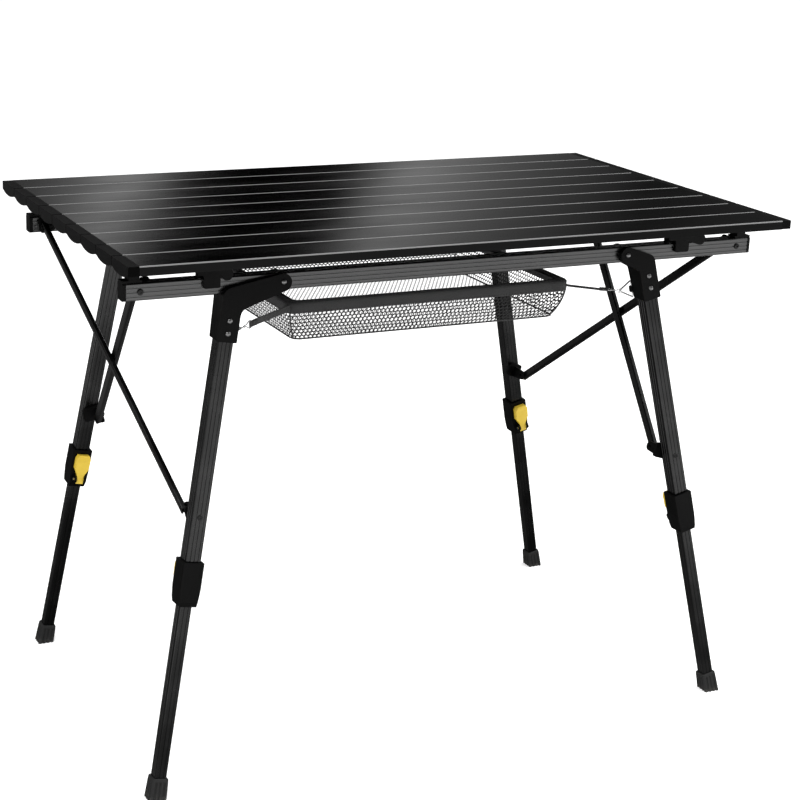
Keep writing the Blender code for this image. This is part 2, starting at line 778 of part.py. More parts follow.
def make_collar(name, side, sign, parent):
    # The moulded lock collar: a wide mouth round the upper tube, a neck round the lower one, two ears
    sizes = leg_sizes(side)
    half = collar_half
    neck = lower_width / 2 + slide_gap + collar_neck
    front = filleted([(-half, -collar_top, 0.0008), (-half, -collar_top - collar_taper, 0.006),
                      (-neck, -collar_end, 0.001), (neck, -collar_end, 0.001),
                      (half, -collar_top - collar_taper, 0.006), (half, -collar_top, 0.0008)], 2)
    over = 0.004
    flank = filleted([(-half, -collar_top + over, 0.0), (-half, -collar_end + 0.007, 0.003),
                      (-neck, -collar_end, 0.0), (-neck, -collar_end - over, 0.0),
                      (half - 0.001, -collar_end - over, 0.0), (half - 0.001, -collar_end, 0.0),
                      (half, -collar_end + 0.006, 0.002), (half, -collar_top + over, 0.0)], 2)
    collar = extrusion([front], -0.03, 0.03, along_y)
    collar = overlap(collar, extrusion([flank], -0.031, 0.031, along_x))
    rim = half + 0.0002
    collar = overlap(collar, extrusion([rectangle(2 * rim, 2 * rim, collar_corner, 2)], -0.5, 0.0))
    ear_y, ear_z = ear_place()
    ears = []
    middle = lever_neck / 2 + seat + ear_width / 2
    for turn in (-1, 1):
        ring = arc((ear_y, ear_z), ear_radius, pi / 2, 3 * pi / 2, 8)
        outline = [(-half + 0.001, ear_z + ear_radius)] + ring + [(-half + 0.001, ear_z - ear_radius)]
        hole = circle((ear_y, ear_z), lever_pin + pin_gap, 12)
        ears.append(extrusion([outline, hole], turn * middle - ear_width / 2, turn * middle + ear_width / 2, along_x))
    collar = join(collar, *ears)
    mouth = upper_width / 2 + seat
    bore = lower_width / 2 + slide_gap
    upper = block((-mouth, -mouth, -upper_end - seat), (mouth, mouth, 0.0))
    lower = block((-bore, -bore, -collar_end - 0.01), (bore, bore, -upper_end))
    collar = cut(collar, upper, lower)
    return finish(collar, name, black_plastic, leg_point(sizes, collar_end), (side, sign), parent,
                  frame=sizes["frame"])


def make_lever(name, side, sign, parent):
    # The spade-shaped lever, narrow where it turns on its pin between the ears
    sizes = leg_sizes(side)
    frame = sizes["frame"]
    ear_y, ear_z = ear_place()
    top = ear_z + lever_height
    near = -collar_half - seat
    far = near - lever_thickness
    knuckle = ear_stand - seat
    flank = [(near, top - 0.001), (near, ear_z), (near, ear_z - 0.0005)]
    flank += arc((ear_y, ear_z), knuckle, -0.12 * pi, -0.35 * pi, 3)
    flank += [(ear_y - 0.0002, ear_z - lever_foot), (far + 0.0010, ear_z - lever_foot),
              (far + 0.0016, ear_z + 0.001), (far + 0.0006, ear_z + 0.010), (far - 0.0004, top - 0.009),
              (far - 0.0018, top - 0.002), (far - 0.0010, top)]
    half = lever_width / 2
    neck = lever_neck / 2
    front = filleted([(-half * 0.72, top, 0.001), (-half, top - 0.006, 0.003), (-half, ear_z + 0.016, 0.003),
                      (-neck, ear_z + ear_radius + 0.001, 0.002), (-neck, ear_z - lever_foot - 0.001, 0.0),
                      (neck, ear_z - lever_foot - 0.001, 0.0), (neck, ear_z + ear_radius + 0.001, 0.002),
                      (half, ear_z + 0.016, 0.003), (half, top - 0.006, 0.003), (half * 0.72, top, 0.001)], 2)
    lever = overlap(extrusion([flank], -0.02, 0.02, along_x), extrusion([front], -0.06, 0.06, along_y))
    reach = neck + seat + ear_width + 0.0008
    lever = join(lever, cylinder((-reach, ear_y, ear_z), (reach, ear_y, ear_z), lever_pin, 10))
    origin = frame @ Vector((0.0, ear_y, ear_z))
    return finish(lever, name, yellow_plastic, origin, (side, sign), parent, frame=frame)


# Cross braces: at each end of the table two flat tubes cross from a rail to the opposite leg
def brace_points(side):
    sizes = leg_sizes(side)
    upper = Vector((swivel_x, rail_inner_y - swivel_stand, rail_mid))
    lower = leg_point(sizes, connector_station, 0.0, -(upper_width / 2 + connector_reach))
    fall = Vector((lower.x - upper.x, 0.0, lower.z - upper.z)).normalized()
    across = Vector((-fall.z, 0.0, fall.x))
    return upper, lower, fall, across


def brace_shift(side, sign):
    # The strut from the back rail lies on the side of smaller X; sign is the rail that carries the strut
    return -side * sign * (strut_thickness / 2 + seat / 2)


def make_strut(name, side, sign, parent):
    upper, lower, fall, across = brace_points(side)
    lower = Vector((lower.x, -lower.y, lower.z))
    shift = across * brace_shift(side, sign)
    along = (lower - upper).normalized()
    width = along.cross(across)
    length = (lower - upper).length
    frame = axes(upper + shift, width, across, along)
    section = rectangle(strut_width, strut_thickness, strut_thickness * 0.28, 2)
    bore = rectangle(strut_width - 2 * strut_wall, strut_thickness - 2 * strut_wall)
    half = strut_width / 2
    strut = extrusion([section, bore], -half, length + half, frame)
    ends = arc((0.0, 0.0), half, pi, 2 * pi, 6) + arc((0.0, length), half, 0.0, pi, 6)
    strut = overlap(strut, extrusion([ends], -0.01, 0.01, axes(upper + shift, width, along, across)))
    holes = []
    for place in (upper + shift, lower + shift):
        holes.append(cylinder(place - across * 0.01, place + across * 0.01, strut_pin + pin_gap, 8))
    strut = cut(strut, *holes)
    return finish(strut, name, tube_metal, upper + shift, (side, sign), parent, 40.0)


def tongue_shift(side, sign):
    return brace_shift(side, sign) - strut_thickness / 2 - seat - tongue_thickness / 2


def make_swivel(name, side, sign, parent):
    # The block that turns on the rail's inner face and holds the strut on its pin
    upper, lower, fall, across = brace_points(side)
    shift = brace_shift(side, sign)
    tongue = tongue_shift(side, sign)
    face = Vector((upper.x, rail_inner_y - seat, upper.z))
    middle = tongue / 2
    base = extrusion([rectangle(swivel_half * 2 + abs(tongue), swivel_half * 2, 0.004, 3)], 0.0, swivel_base,
                     axes(face + across * middle, across, fall, (0, -1, 0)))
    back = swivel_stand - swivel_base + 0.0012
    outline = arc((0.0, 0.0), tongue_radius, -0.40 * pi, 0.40 * pi, 8)
    outline += [(-back, swivel_half - 0.0015), (-back, -swivel_half + 0.0015)]
    plate = extrusion([outline], tongue - tongue_thickness / 2, tongue + tongue_thickness / 2,
                      axes(upper, (0, -1, 0), fall, across))
    far = shift + strut_thickness / 2 + seat
    pin = cylinder(upper + across * tongue, upper + across * (far + brace_head_height * 0.5), strut_pin, 12)
    head = cylinder(upper + across * far, upper + across * (far + brace_head_height), brace_head, 14)
    swivel = join(base, plate, pin, head)
    return finish(swivel, name, black_plastic, face, (side, sign), parent)


def make_connector(name, side, sign, parent):
    # The block that turns on the leg's inner face; sign is the leg, whose strut comes from the other rail
    sizes = leg_sizes(side)
    upper, lower, fall, across = brace_points(side)
    tongue = tongue_shift(side, -sign)
    normal = sizes["normal"]
    face = leg_point(sizes, connector_station, 0.0, -(upper_width / 2 + seat))
    first = (across - normal * across.dot(normal)).normalized()
    second = first.cross(-normal)
    middle = tongue / 2
    base = extrusion([rectangle(connector_half * 2 + abs(tongue), connector_half * 2, 0.004, 3)], 0.0, connector_base,
                     axes(face + first * middle, first, second, -normal))
    back = connector_reach - seat - connector_base + 0.0022
    outline = arc((0.0, 0.0), tongue_radius, -0.42 * pi, 0.42 * pi, 8)
    outline += [(-back, connector_half - 0.0022), (-back, -connector_half + 0.0022)]
    hole = circle((0.0, 0.0), strut_pin + pin_gap, 12)
    plate = extrusion([outline, hole], tongue - tongue_thickness / 2, tongue + tongue_thickness / 2,
                      axes(lower, (0, -1, 0), fall, across))
    connector = join(base, plate)
    return finish(connector, name, black_plastic, face, (side, sign), parent)


# Basket rings: bent wire at the inboard edge of each bracket, with the hook for the strap
def ring_points(side):
    sizes = leg_sizes(side)
    half = upper_width / 2 + seat + sleeve_wall
    inward = -(half + ring_stand)
    top = leg_point(sizes, sizes["ring"] - ring_height, ring_inset - half, inward)
    low = leg_point(sizes, sizes["ring"], ring_inset - half, inward)
    tip = (top + low) / 2 + Vector((-ring_reach, -0.001, -0.002))
    return top, low, tip


def ring_path(side):
    # Five points round each bent corner; the last corner is the tip that carries the strap
    path = []
    corners = ring_points(side)
    for index, here in enumerate(corners):
        before = here + (corners[index - 1] - here).normalized() * ring_bend
        after = here + (corners[(index + 1) % 3] - here).normalized() * ring_bend
        for share in (0.0, 0.25, 0.5, 0.75, 1.0):
            path.append(before * (1 - share) ** 2 + here * (2 * share * (1 - share)) + after * share ** 2)
    return path


def make_ring(name, side, sign, parent):
    top, low, tip = ring_points(side)
    ring = wire(ring_path(side), hook_wire, closed=True)
    return finish(ring, name, bright_wire, (top + low) / 2, (side, sign), parent, 60.0)


def make_basket(name, parent):
    # A tapered tub with its real open top, a stiff rim band and four corner straps
    def ring(half_length, half_width, corner):
        return rectangle(2 * half_length, 2 * half_width, corner, 3)

    def tub(shrink, low, high, cap_low, cap_high):
        bm = bmesh.new()
        rows = []
        for height in (low, high):
            share = (height - basket_bottom_z) / (basket_rim_z - basket_bottom_z)
            inset = basket_inset * (1 - share) + shrink
            loop = ring(basket_half_length - inset, basket_half_width - inset, max(basket_corner - shrink, 0.002))
            rows.append([bm.verts.new((a, b, height)) for a, b in loop])
        count = len(rows[0])
        for index in range(count):
            nxt = (index + 1) % count
            bm.faces.new((rows[0][index], rows[0][nxt], rows[1][nxt], rows[1][index]))
        bm.faces.new(rows[0])
        bm.faces.new(rows[1])
        return from_bmesh(bm, "tub")

    basket = tub(0.0, basket_bottom_z, basket_rim_z, True, True)
    band = extrusion([ring(basket_half_length, basket_half_width, basket_corner)],
                     basket_rim_z - basket_rim_height, basket_rim_z)
    basket = join(basket, band)
    basket = cut(basket, tub(basket_wall, basket_bottom_z + basket_wall, basket_rim_z + 0.004, True, True))
    room = ring(basket_half_length - basket_rim_width, basket_half_width - basket_rim_width, basket_corner * 0.5)
    rim = extrusion([ring(basket_half_length - 0.0005, basket_half_width - 0.0005, basket_corner), room],
                    basket_rim_z - basket_rim_height, basket_rim_z - basket_rim_height + 0.0020)
    basket = join(basket, rim)
    straps = []
    for side in (-1, 1):
        tip = ring_path(side)[12]
        for sign in (-1, 1):
            start = Vector((side * (basket_half_length - 0.004), sign * (basket_half_width - 0.004),
                            basket_rim_z - basket_rim_height * 0.5))
            end = Vector((side * tip.x - basket_x, sign * tip.y, tip.z))
            along = (end - start).normalized()
            end = end - along * (hook_wire + seat)
            flat = along.cross(Vector((0, 0, 1))).normalized()
            thick = flat.cross(along).normalized()
            length = (end - start).length
            straps.append(block((-strap_width / 2, -strap_thickness / 2, 0.0),
                                (strap_width / 2, strap_thickness / 2, length), axes(start, flat, thick, along)))
    basket = join(basket, *straps)
    basket.location = (basket_x, 0.0, 0.0)
    bpy.context.view_layer.update()
    return finish(basket, name, net_cloth, (basket_x, 0.0, basket_rim_z), parent=parent)


# Assembly
slat_chain()
frame_point = joint_point("frame_point", (0.0, -rail_mid_y, rail_mid))
rear_point = joint_point("rear_rail_point", (0.0, rail_mid_y, rail_mid), frame_point)
make_rail("front_rail", -1, frame_point)
make_rail("rear_rail", 1, rear_point)

for sign, row, carrier in ((-1, "front", frame_point), (1, "rear", rear_point)):
    for side, hand in ((-1, "left"), (1, "right")):
        corner = "%s_%s" % (row, hand)
        flip = Matrix.Diagonal((side, sign, 1.0, 1.0))
        sizes = leg_sizes(side)
        axis_y, axis_z = latch_axis()
        make_rail_cap(corner + "_rail_cap", side, sign, carrier)
        latch_point = joint_point(corner + "_latch_axis", (latch_middle(side), sign * axis_y, axis_z), carrier)
        make_latch(corner + "_top_latch", side, sign, latch_point)
        leg_pivot = joint_point(corner + "_leg_pivot", (side * pivot_x, sign * rail_mid_y, rail_mid), carrier)
        make_bracket(corner + "_leg_bracket", side, sign, leg_pivot)
        make_upper_leg(corner + "_upper_leg", side, sign, leg_pivot)
        make_collar(corner + "_lock_collar", side, sign, leg_pivot)
        top, low, tip = ring_points(side)
        ring_point = joint_point(corner + "_ring_swing", flip @ ((top + low) / 2), leg_pivot)
        make_ring(corner + "_basket_ring", side, sign, ring_point)
        slide_point = joint_point(corner + "_leg_slide", flip @ leg_point(sizes, collar_end), leg_pivot)
        make_lower_leg(corner + "_lower_leg", side, sign, slide_point)
        make_foot(corner + "_foot", side, sign, slide_point)
        ear_y, ear_z = ear_place()
        lever_point = joint_point(corner + "_lever_pin", flip @ (sizes["frame"] @ Vector((0.0, ear_y, ear_z))), leg_pivot)
        make_lever(corner + "_lock_lever", side, sign, lever_point)
        upper, lower, fall, across = brace_points(side)
        face = Vector((upper.x, rail_inner_y - seat, upper.z))
        swivel_point = joint_point(corner + "_swivel_axis", flip @ face, carrier)
        make_swivel(corner + "_brace_swivel", side, sign, swivel_point)
        strut_point = joint_point(corner + "_strut_pin", flip @ (upper + across * brace_shift(side, sign)), swivel_point)
        make_strut(corner + "_brace_strut", side, sign, strut_point)
        foot_face = leg_point(sizes, connector_station, 0.0, -(upper_width / 2 + seat))
        connector_point = joint_point(corner + "_connector_axis", flip @ foot_face, leg_pivot)
        make_connector(corner + "_brace_connector", side, sign, connector_point)

basket_point = joint_point("basket_point", (basket_x, 0.0, basket_rim_z), frame_point)
make_basket("net_basket", basket_point)

for item in list(work_collection.objects):
    bpy.data.objects.remove(item, do_unlink=True)
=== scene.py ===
from math import cos, pi, radians, sin, sqrt, tan

import bmesh
import bpy
from mathutils import Matrix, Vector


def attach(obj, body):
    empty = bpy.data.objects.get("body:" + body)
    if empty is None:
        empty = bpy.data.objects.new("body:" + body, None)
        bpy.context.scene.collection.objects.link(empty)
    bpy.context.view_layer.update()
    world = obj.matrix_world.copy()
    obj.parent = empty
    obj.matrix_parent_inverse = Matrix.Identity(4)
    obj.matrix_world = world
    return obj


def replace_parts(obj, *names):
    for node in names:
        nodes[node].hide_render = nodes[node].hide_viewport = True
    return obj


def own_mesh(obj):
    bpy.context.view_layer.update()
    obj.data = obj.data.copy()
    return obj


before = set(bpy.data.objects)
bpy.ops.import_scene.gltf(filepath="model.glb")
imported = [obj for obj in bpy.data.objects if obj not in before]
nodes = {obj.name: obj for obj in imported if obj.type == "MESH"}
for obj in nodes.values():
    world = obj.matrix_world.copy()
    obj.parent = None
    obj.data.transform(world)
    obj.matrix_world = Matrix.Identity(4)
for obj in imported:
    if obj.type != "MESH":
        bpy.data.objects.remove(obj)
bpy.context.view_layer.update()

# Folding camp table with a roll-up slat top, telescoping legs, crossed braces and a net basket.
# Metres, Z up, X along the length, Y to the back, origin on the floor under the middle.

scene = bpy.context.scene

# Each corner: its name, its sign across the table and its sign along it
corners = [("front_left", -1, -1), ("front_right", -1, 1), ("rear_left", 1, -1), ("rear_right", 1, 1)]
print("frame loaded:", len(nodes), "nodes")


# Node trees, for the finishes and for the grown shapes alike
class Signal:
    # One socket of a tree; a sum written with it adds the nodes of that sum
    def __init__(self, maker, socket):
        self.maker = maker
        self.socket = socket

    def maths(self, operation, *values):
        return self.maker.node("ShaderNodeMath", {"operation": operation}, dict(enumerate(values)))

    def above(self, limit):
        return self.maths("GREATER_THAN", self, limit)

    def below(self, limit):
        return self.maths("LESS_THAN", self, limit)

    def size(self):
        return self.maths("ABSOLUTE", self)

    def fade(self, start, end, low=0.0, high=1.0):
        values = {"Value": self, "From Min": start, "From Max": end, "To Min": low, "To Max": high}
        return self.maker.node("ShaderNodeMapRange", {"interpolation_type": "SMOOTHSTEP"}, values)

    def also(self, output):
        return Signal(self.maker, self.socket.node.outputs[output])


def addOperator(name, kind):
    setattr(Signal, "__" + name + "__", lambda self, other: self.maths(kind, self, other))
    setattr(Signal, "__r" + name + "__", lambda self, other: self.maths(kind, other, self))


for name, kind in (("add", "ADD"), ("sub", "SUBTRACT"), ("mul", "MULTIPLY"), ("truediv", "DIVIDE")):
    addOperator(name, kind)


class TreeMaker:
    def __init__(self, tree):
        self.tree = tree

    def feed(self, socket, value):
        if isinstance(value, Signal):
            self.tree.links.new(value.socket, socket)
        else:
            socket.default_value = value

    def node(self, kind, settings=None, values=None, output=0):
        made = self.tree.nodes.new(kind)
        for name, setting in (settings or {}).items():
            if name == "stops":
                for index, (place, colour) in enumerate(setting):
                    ramp = made.color_ramp.elements
                    stop = ramp[index] if index < 2 else ramp.new(place)
                    stop.position = place
                    stop.color = colour
            else:
                setattr(made, name, setting)
        for name, value in (values or {}).items():
            self.feed(made.inputs[name], value)
        return Signal(self, made.outputs[output])

    def place(self, scale=(1.0, 1.0, 1.0), turn=(0.0, 0.0, 0.0)):
        where = self.node("ShaderNodeTexCoord", output="Object")
        turned = self.node("ShaderNodeMapping", None, {"Vector": where, "Rotation": turn})
        return self.node("ShaderNodeMapping", None, {"Vector": turned, "Scale": scale})

    def axes(self):
        # X of the object's own coordinates; also("Y") and also("Z") give the others
        where = self.node("ShaderNodeTexCoord", output="Object")
        return self.node("ShaderNodeSeparateXYZ", None, {0: where})

    def noise(self, scale, detail, roughness, *stretch):
        values = {"Vector": self.place(*stretch), "Scale": scale, "Detail": detail, "Roughness": roughness}
        return self.node("ShaderNodeTexNoise", None, values)

    def mix(self, share, first, second):
        settings = {"data_type": "RGBA", "blend_type": "MIX"}
        return self.node("ShaderNodeMix", settings, {0: share, 6: first, 7: second}, 2)

    def attribute(self, name):
        return self.node("GeometryNodeInputNamedAttribute", {"data_type": "FLOAT_VECTOR"}, {"Name": name})


class Finish(TreeMaker):
    # A material whose constant values sit on the shader's own sockets
    def __init__(self, name, constants):
        self.material = bpy.data.materials.new(name)
        self.material.use_nodes = True
        TreeMaker.__init__(self, self.material.node_tree)
        self.shader = self.material.node_tree.nodes["Principled BSDF"]
        self.set(**constants)

    def set(self, **values):
        for name, value in values.items():
            self.feed(self.shader.inputs[name.replace("_", " ")], value)

    def close(self, colour, roughness, height, strength, distance):
        values = {"Strength": strength, "Distance": distance, "Height": height}
        bump = self.node("ShaderNodeBump", None, values)
        self.set(Base_Color=colour, Roughness=roughness, Normal=bump)
        return self.material


def tone(value):
    return (value, value, value, 1.0)


# Finishes
# The pale edge colour is a painted highlight along the tops of the slat joints
slatLook = {"metal": tone(0.006), "metalPale": tone(0.011), "shine": 0.10, "dull": 0.155, "scuffRough": 0.04,
            "lineRough": 0.02, "metallic": 0.98, "cap": tone(0.003), "capStart": 0.4366, "capRough": 0.5,
            "capGrain": 1.6, "pitch": 0.0583, "edge": 0.0017, "edgePaintedHighlight": tone(0.17), "edgeLow": 0.6701,
            "edgeRough": 0.12, "edgeMetallic": 0.85}


def makeSlatFinish():
    # Anodised channel with nylon end caps; the rounded edges along each joint catch the light, and a pale
    # band painted along their tops adds a painted highlight
    finish = Finish("slatAnodised", {})
    along = finish.axes()
    cap = along.size().above(slatLook["capStart"])
    drawn = finish.noise(1.0, 3.0, 0.6, (1.2, 420.0, 420.0))
    cloud = finish.noise(2.0, 3.0, 0.55, (3.0, 9.0, 9.0))
    grain = finish.noise(2600.0, 2.0, 0.6)
    scuff = finish.noise(3.0, 4.0, 0.7, (7.0, 60.0, 60.0)).fade(0.62, 0.78)
    metal = finish.mix(cloud, slatLook["metal"], slatLook["metalPale"])
    # The whole hundred keeps the count of slats above zero for the rounding
    across = along.also("Y") / slatLook["pitch"] + 100.0
    joint = 0.5 - (across - across.maths("ROUND", across)).size()
    # Painted highlight: a pale band along the top of each joint, made less metallic so it shows as pale paint
    edge = joint.below(slatLook["edge"] / slatLook["pitch"]) * along.also("Z").above(slatLook["edgeLow"])
    metal = finish.mix(edge, metal, slatLook["edgePaintedHighlight"])
    colour = finish.mix(cap, metal, slatLook["cap"])
    rough = cloud.fade(0.3, 0.7, slatLook["shine"], slatLook["dull"])
    rough = rough + scuff * slatLook["scuffRough"] + drawn * slatLook["lineRough"]
    rough = (rough + edge * slatLook["edgeRough"]) * (1.0 - cap) + cap * slatLook["capRough"]
    finish.set(Metallic=slatLook["metallic"] - edge * (1.0 - cap) * slatLook["edgeMetallic"])
    return finish.close(colour, rough, drawn * (1.0 - cap) + grain * cap * slatLook["capGrain"], 0.12, 0.0002)


tubeLook = {"metal": tone(0.034), "metalPale": tone(0.052), "rub": tone(0.085), "shine": 0.20, "dull": 0.30,
            "rail": tone(0.082), "railPale": tone(0.108), "railRub": tone(0.13), "railShine": 0.22,
            "base": tone(0.003), "baseRough": 0.5}


def makeTubeFinish(name, stretch, turn=(0.0, 0.0, 0.0)):
    # Anodised tube: fine die lines along its length, faint clouds and rub marks
    finish = Finish(name, {"Metallic": 1.0})
    lines = finish.noise(1.0, 3.0, 0.65, stretch, turn)
    cloud = finish.noise(14.0, 3.0, 0.6)
    rub = finish.noise(55.0, 5.0, 0.7).fade(0.60, 0.74)
    base = finish.mix(cloud.fade(0.35, 0.7), tubeLook["metal"], tubeLook["metalPale"])
    colour = finish.mix(rub * 0.35, base, tubeLook["rub"])
    rough = cloud.fade(0.3, 0.7, tubeLook["shine"], tubeLook["dull"]) + lines * 0.02
    return finish.close(colour, rough, lines, 0.02, 0.0003)


def makeNylonFinish(name, colour, roughness):
    # Moulded nylon: a fine spark texture with faint flow marks and paler rubbed places
    finish = Finish(name, {"Specular_IOR_Level": 0.09})
    grain = finish.noise(2100.0, 2.0, 0.6)
    flow = finish.noise(42.0, 4.0, 0.6, (1.0, 1.0, 0.35))
    worn = finish.noise(120.0, 5.0, 0.75).fade(0.58, 0.76)
    base = finish.mix(flow, tone(colour), tone(colour * 1.9))
    colour = finish.mix(worn * 0.4, base, tone(colour * 3.2))
    rough = flow.fade(0.3, 0.7, roughness - 0.07, roughness + 0.08) + grain * 0.06
    return finish.close(colour, rough, grain, 0.25, 0.00015)


def makeRailFinish():
    # The rail is drawn metal; the latch bases that stand on it are nylon
    finish = Finish("railAnodised", {"Metallic": 1.0})
    base = finish.axes().also("Z").above(railSizes["top"] + 0.0001)
    lines = finish.noise(1.0, 2.0, 0.5, (0.6, 380.0, 380.0))
    cloud = finish.noise(9.0, 3.0, 0.5, (0.5, 2.0, 2.0))
    rub = finish.noise(48.0, 5.0, 0.7).fade(0.62, 0.80)
    metal = finish.mix(cloud.fade(0.35, 0.7), tubeLook["rail"], tubeLook["railPale"])
    metal = finish.mix(rub * 0.2, metal, tubeLook["railRub"])
    colour = finish.mix(base, metal, tubeLook["base"])
    rough = cloud.fade(0.3, 0.7, tubeLook["railShine"], tubeLook["dull"]) + lines * 0.03
    rough = rough * (1.0 - base) + base * tubeLook["baseRough"]
    return finish.close(colour, rough, lines, 0.02, 0.0003)


yellowLook = {"deep": (0.62, 0.42, 0.022, 1.0), "pale": (0.74, 0.53, 0.055, 1.0),
              "grime": (0.46, 0.28, 0.02, 1.0), "shine": 0.34, "dull": 0.46}


def makeYellowFinish():
    # Moulded lever: faint flow marks and a little grime
    finish = Finish("leverYellow", {"Specular_IOR_Level": 0.5})
    grain = finish.noise(1500.0, 2.0, 0.6)
    flow = finish.noise(60.0, 4.0, 0.6)
    grime = finish.noise(170.0, 5.0, 0.7).fade(0.56, 0.74)
    base = finish.mix(flow, yellowLook["deep"], yellowLook["pale"])
    colour = finish.mix(grime * 0.25, base, yellowLook["grime"])
    rough = flow.fade(0.3, 0.7, yellowLook["shine"], yellowLook["dull"])
    return finish.close(colour, rough, grain, 0.2, 0.00012)


rubberLook = {"dark": tone(0.011), "pale": tone(0.021), "dust": (0.13, 0.12, 0.105, 1.0), "dustHeight": 0.012,
              "shine": 0.66, "dull": 0.82}


def makeRubberFinish():
    # Rubber with floor dust that fades upwards
    finish = Finish("footRubber", {"Specular_IOR_Level": 0.32})
    grain = finish.noise(1300.0, 3.0, 0.6)
    cloud = finish.noise(70.0, 4.0, 0.6)
    specks = finish.noise(260.0, 4.0, 0.7).fade(0.4, 0.7)
    dust = finish.axes().also("Z").fade(0.0, rubberLook["dustHeight"], 1.0, 0.0) * specks
    base = finish.mix(cloud, rubberLook["dark"], rubberLook["pale"])
    colour = finish.mix(dust * 0.35, base, rubberLook["dust"])
    rough = cloud.fade(0.3, 0.7, rubberLook["shine"], rubberLook["dull"])
    return finish.close(colour, rough, grain, 0.35, 0.0002)


def makeSteelFinish(name, colour, colourPale, roughness):
    # Wire, rivets and screws: clouded metal with fine scratches
    finish = Finish(name, {"Metallic": 1.0})
    cloud = finish.noise(160.0, 4.0, 0.65)
    scratch = finish.noise(9.0, 4.0, 0.7, (300.0, 300.0, 40.0))
    colour = finish.mix(cloud, tone(colour), tone(colourPale))
    rough = scratch.fade(0.3, 0.7, roughness - 0.06, roughness + 0.08)
    return finish.close(colour, rough, scratch, 0.08, 0.0001)


# The paler top tones are a painted sheen on the raised fibres of the yarn and the band
fabricLook = {"thread": tone(0.012), "threadPale": tone(0.026), "threadPaintedSheen": tone(0.05),
              "webbing": tone(0.020), "webbingPale": tone(0.034), "webbingPaintedSheen": tone(0.052), "weave": 620.0}


def makeThreadFinish():
    # Knitted yarn: where the twist stands highest its top is painted a paler grey, a painted sheen
    finish = Finish("netThread", {"Specular_IOR_Level": 0.25})
    twist = finish.noise(1900.0, 2.0, 0.5)
    cloud = finish.noise(32.0, 3.0, 0.6)
    base = finish.mix(cloud, fabricLook["thread"], fabricLook["threadPale"])
    # Painted sheen: paler where the twist bump is highest
    colour = finish.mix(twist.fade(0.5, 0.7) * 0.5, base, fabricLook["threadPaintedSheen"])
    rough = cloud.fade(0.3, 0.7, 0.75, 0.88)
    return finish.close(colour, rough, twist, 0.5, 0.0003)


def makeWebbingFinish():
    # Plain woven band: warp and weft about half a millimetre apart, the raised weave painted paler as a
    # painted sheen
    finish = Finish("bandWebbing", {"Specular_IOR_Level": 0.22, "Sheen_Weight": 0.12})
    fibre = finish.noise(2400.0, 2.0, 0.6)
    cloud = finish.noise(45.0, 4.0, 0.6)
    values = {"Vector": finish.place((1.0, 1.0, 2.2)), "Scale": fabricLook["weave"], "Distortion": 1.2}
    weave = finish.node("ShaderNodeTexWave", {"wave_type": "BANDS", "bands_direction": "DIAGONAL"}, values, 1)
    base = finish.mix(cloud, fabricLook["webbing"], fabricLook["webbingPale"])
    # Painted sheen: paler where the weave bump is highest
    colour = finish.mix(weave * 0.5, base, fabricLook["webbingPaintedSheen"])
    rough = cloud.fade(0.3, 0.7, 0.78, 0.9)
    return finish.close(colour, rough, weave + fibre * 0.6, 0.55, 0.0003)


# Sizes that the pieces share with the solids
railSizes = {"top": 0.6365, "mid": 0.6261, "outerY": 0.200, "screwX": 0.4146}
legSizes = {
    -1: {"arm": 0.0610, "splay": radians(9.74), "sleeveRivets": (0.0523, 0.0675), "ring": 0.0765},
    1: {"arm": 0.0255, "splay": radians(12.95), "sleeveRivets": (0.0358, 0.0523), "ring": 0.0665},
}
legCommon = {"pivotX": 0.240, "axisY": 0.1951, "lean": 0.0733, "sleeveHalf": 0.0126, "tubeHalf": 0.010,
             "bolt": 0.290, "collarTop": 0.345, "collarHalf": 0.0135, "earStation": 0.0410,
             "earStand": 0.0055, "leverHeight": 0.0365, "leverThickness": 0.0080, "seat": 0.0003}


def legFrame(side, sign):
    # A leg's top, and the directions down its tube, out to the table's end and out of its face
    sizes = legSizes[side]
    turn = sizes["splay"]
    rise = sizes["arm"] * sin(turn)
    down = Vector((tan(turn), legCommon["lean"], -1.0)).normalized()
    out = Vector((cos(turn), 0.0, sin(turn)))
    normal = (-down).cross(out)
    reach = legCommon["pivotX"] + sizes["arm"] * cos(turn)
    origin = Vector((reach, legCommon["axisY"] - legCommon["lean"] * rise, railSizes["mid"] + rise))
    flip = Matrix.Diagonal((side, sign, 1.0))
    return flip @ origin, flip @ down, flip @ out, flip @ normal


def legPoint(side, sign, station, out, normal):
    # A point at a distance down the leg, moved out to the end and out of the face
    origin, down, outward, facing = legFrame(side, sign)
    return origin + down * station + outward * out + facing * normal


slatMetal = makeSlatFinish()
railMetal = makeRailFinish()
braceMetal = makeTubeFinish("braceAnodised", (60.0, 30.0, 60.0))
legMetals = {}
for corner, sign, side in corners:
    turn = legFrame(side, sign)[1].rotation_difference(Vector((0.0, 0.0, -1.0))).to_euler()
    legMetals[corner] = makeTubeFinish("legAnodised_" + corner, (260.0, 260.0, 2.0), tuple(turn))
nylon = makeNylonFinish("nylonMoulded", 0.0013, 0.42)
yellow = makeYellowFinish()
rubber = makeRubberFinish()
brightSteel = makeSteelFinish("wireZinc", 0.55, 0.72, 0.24)
rivetSteel = makeSteelFinish("rivetGrey", 0.13, 0.24, 0.28)
screwSteel = makeSteelFinish("screwBlack", 0.018, 0.045, 0.34)
netThread = makeThreadFinish()
webbing = makeWebbingFinish()
print("finishes made")


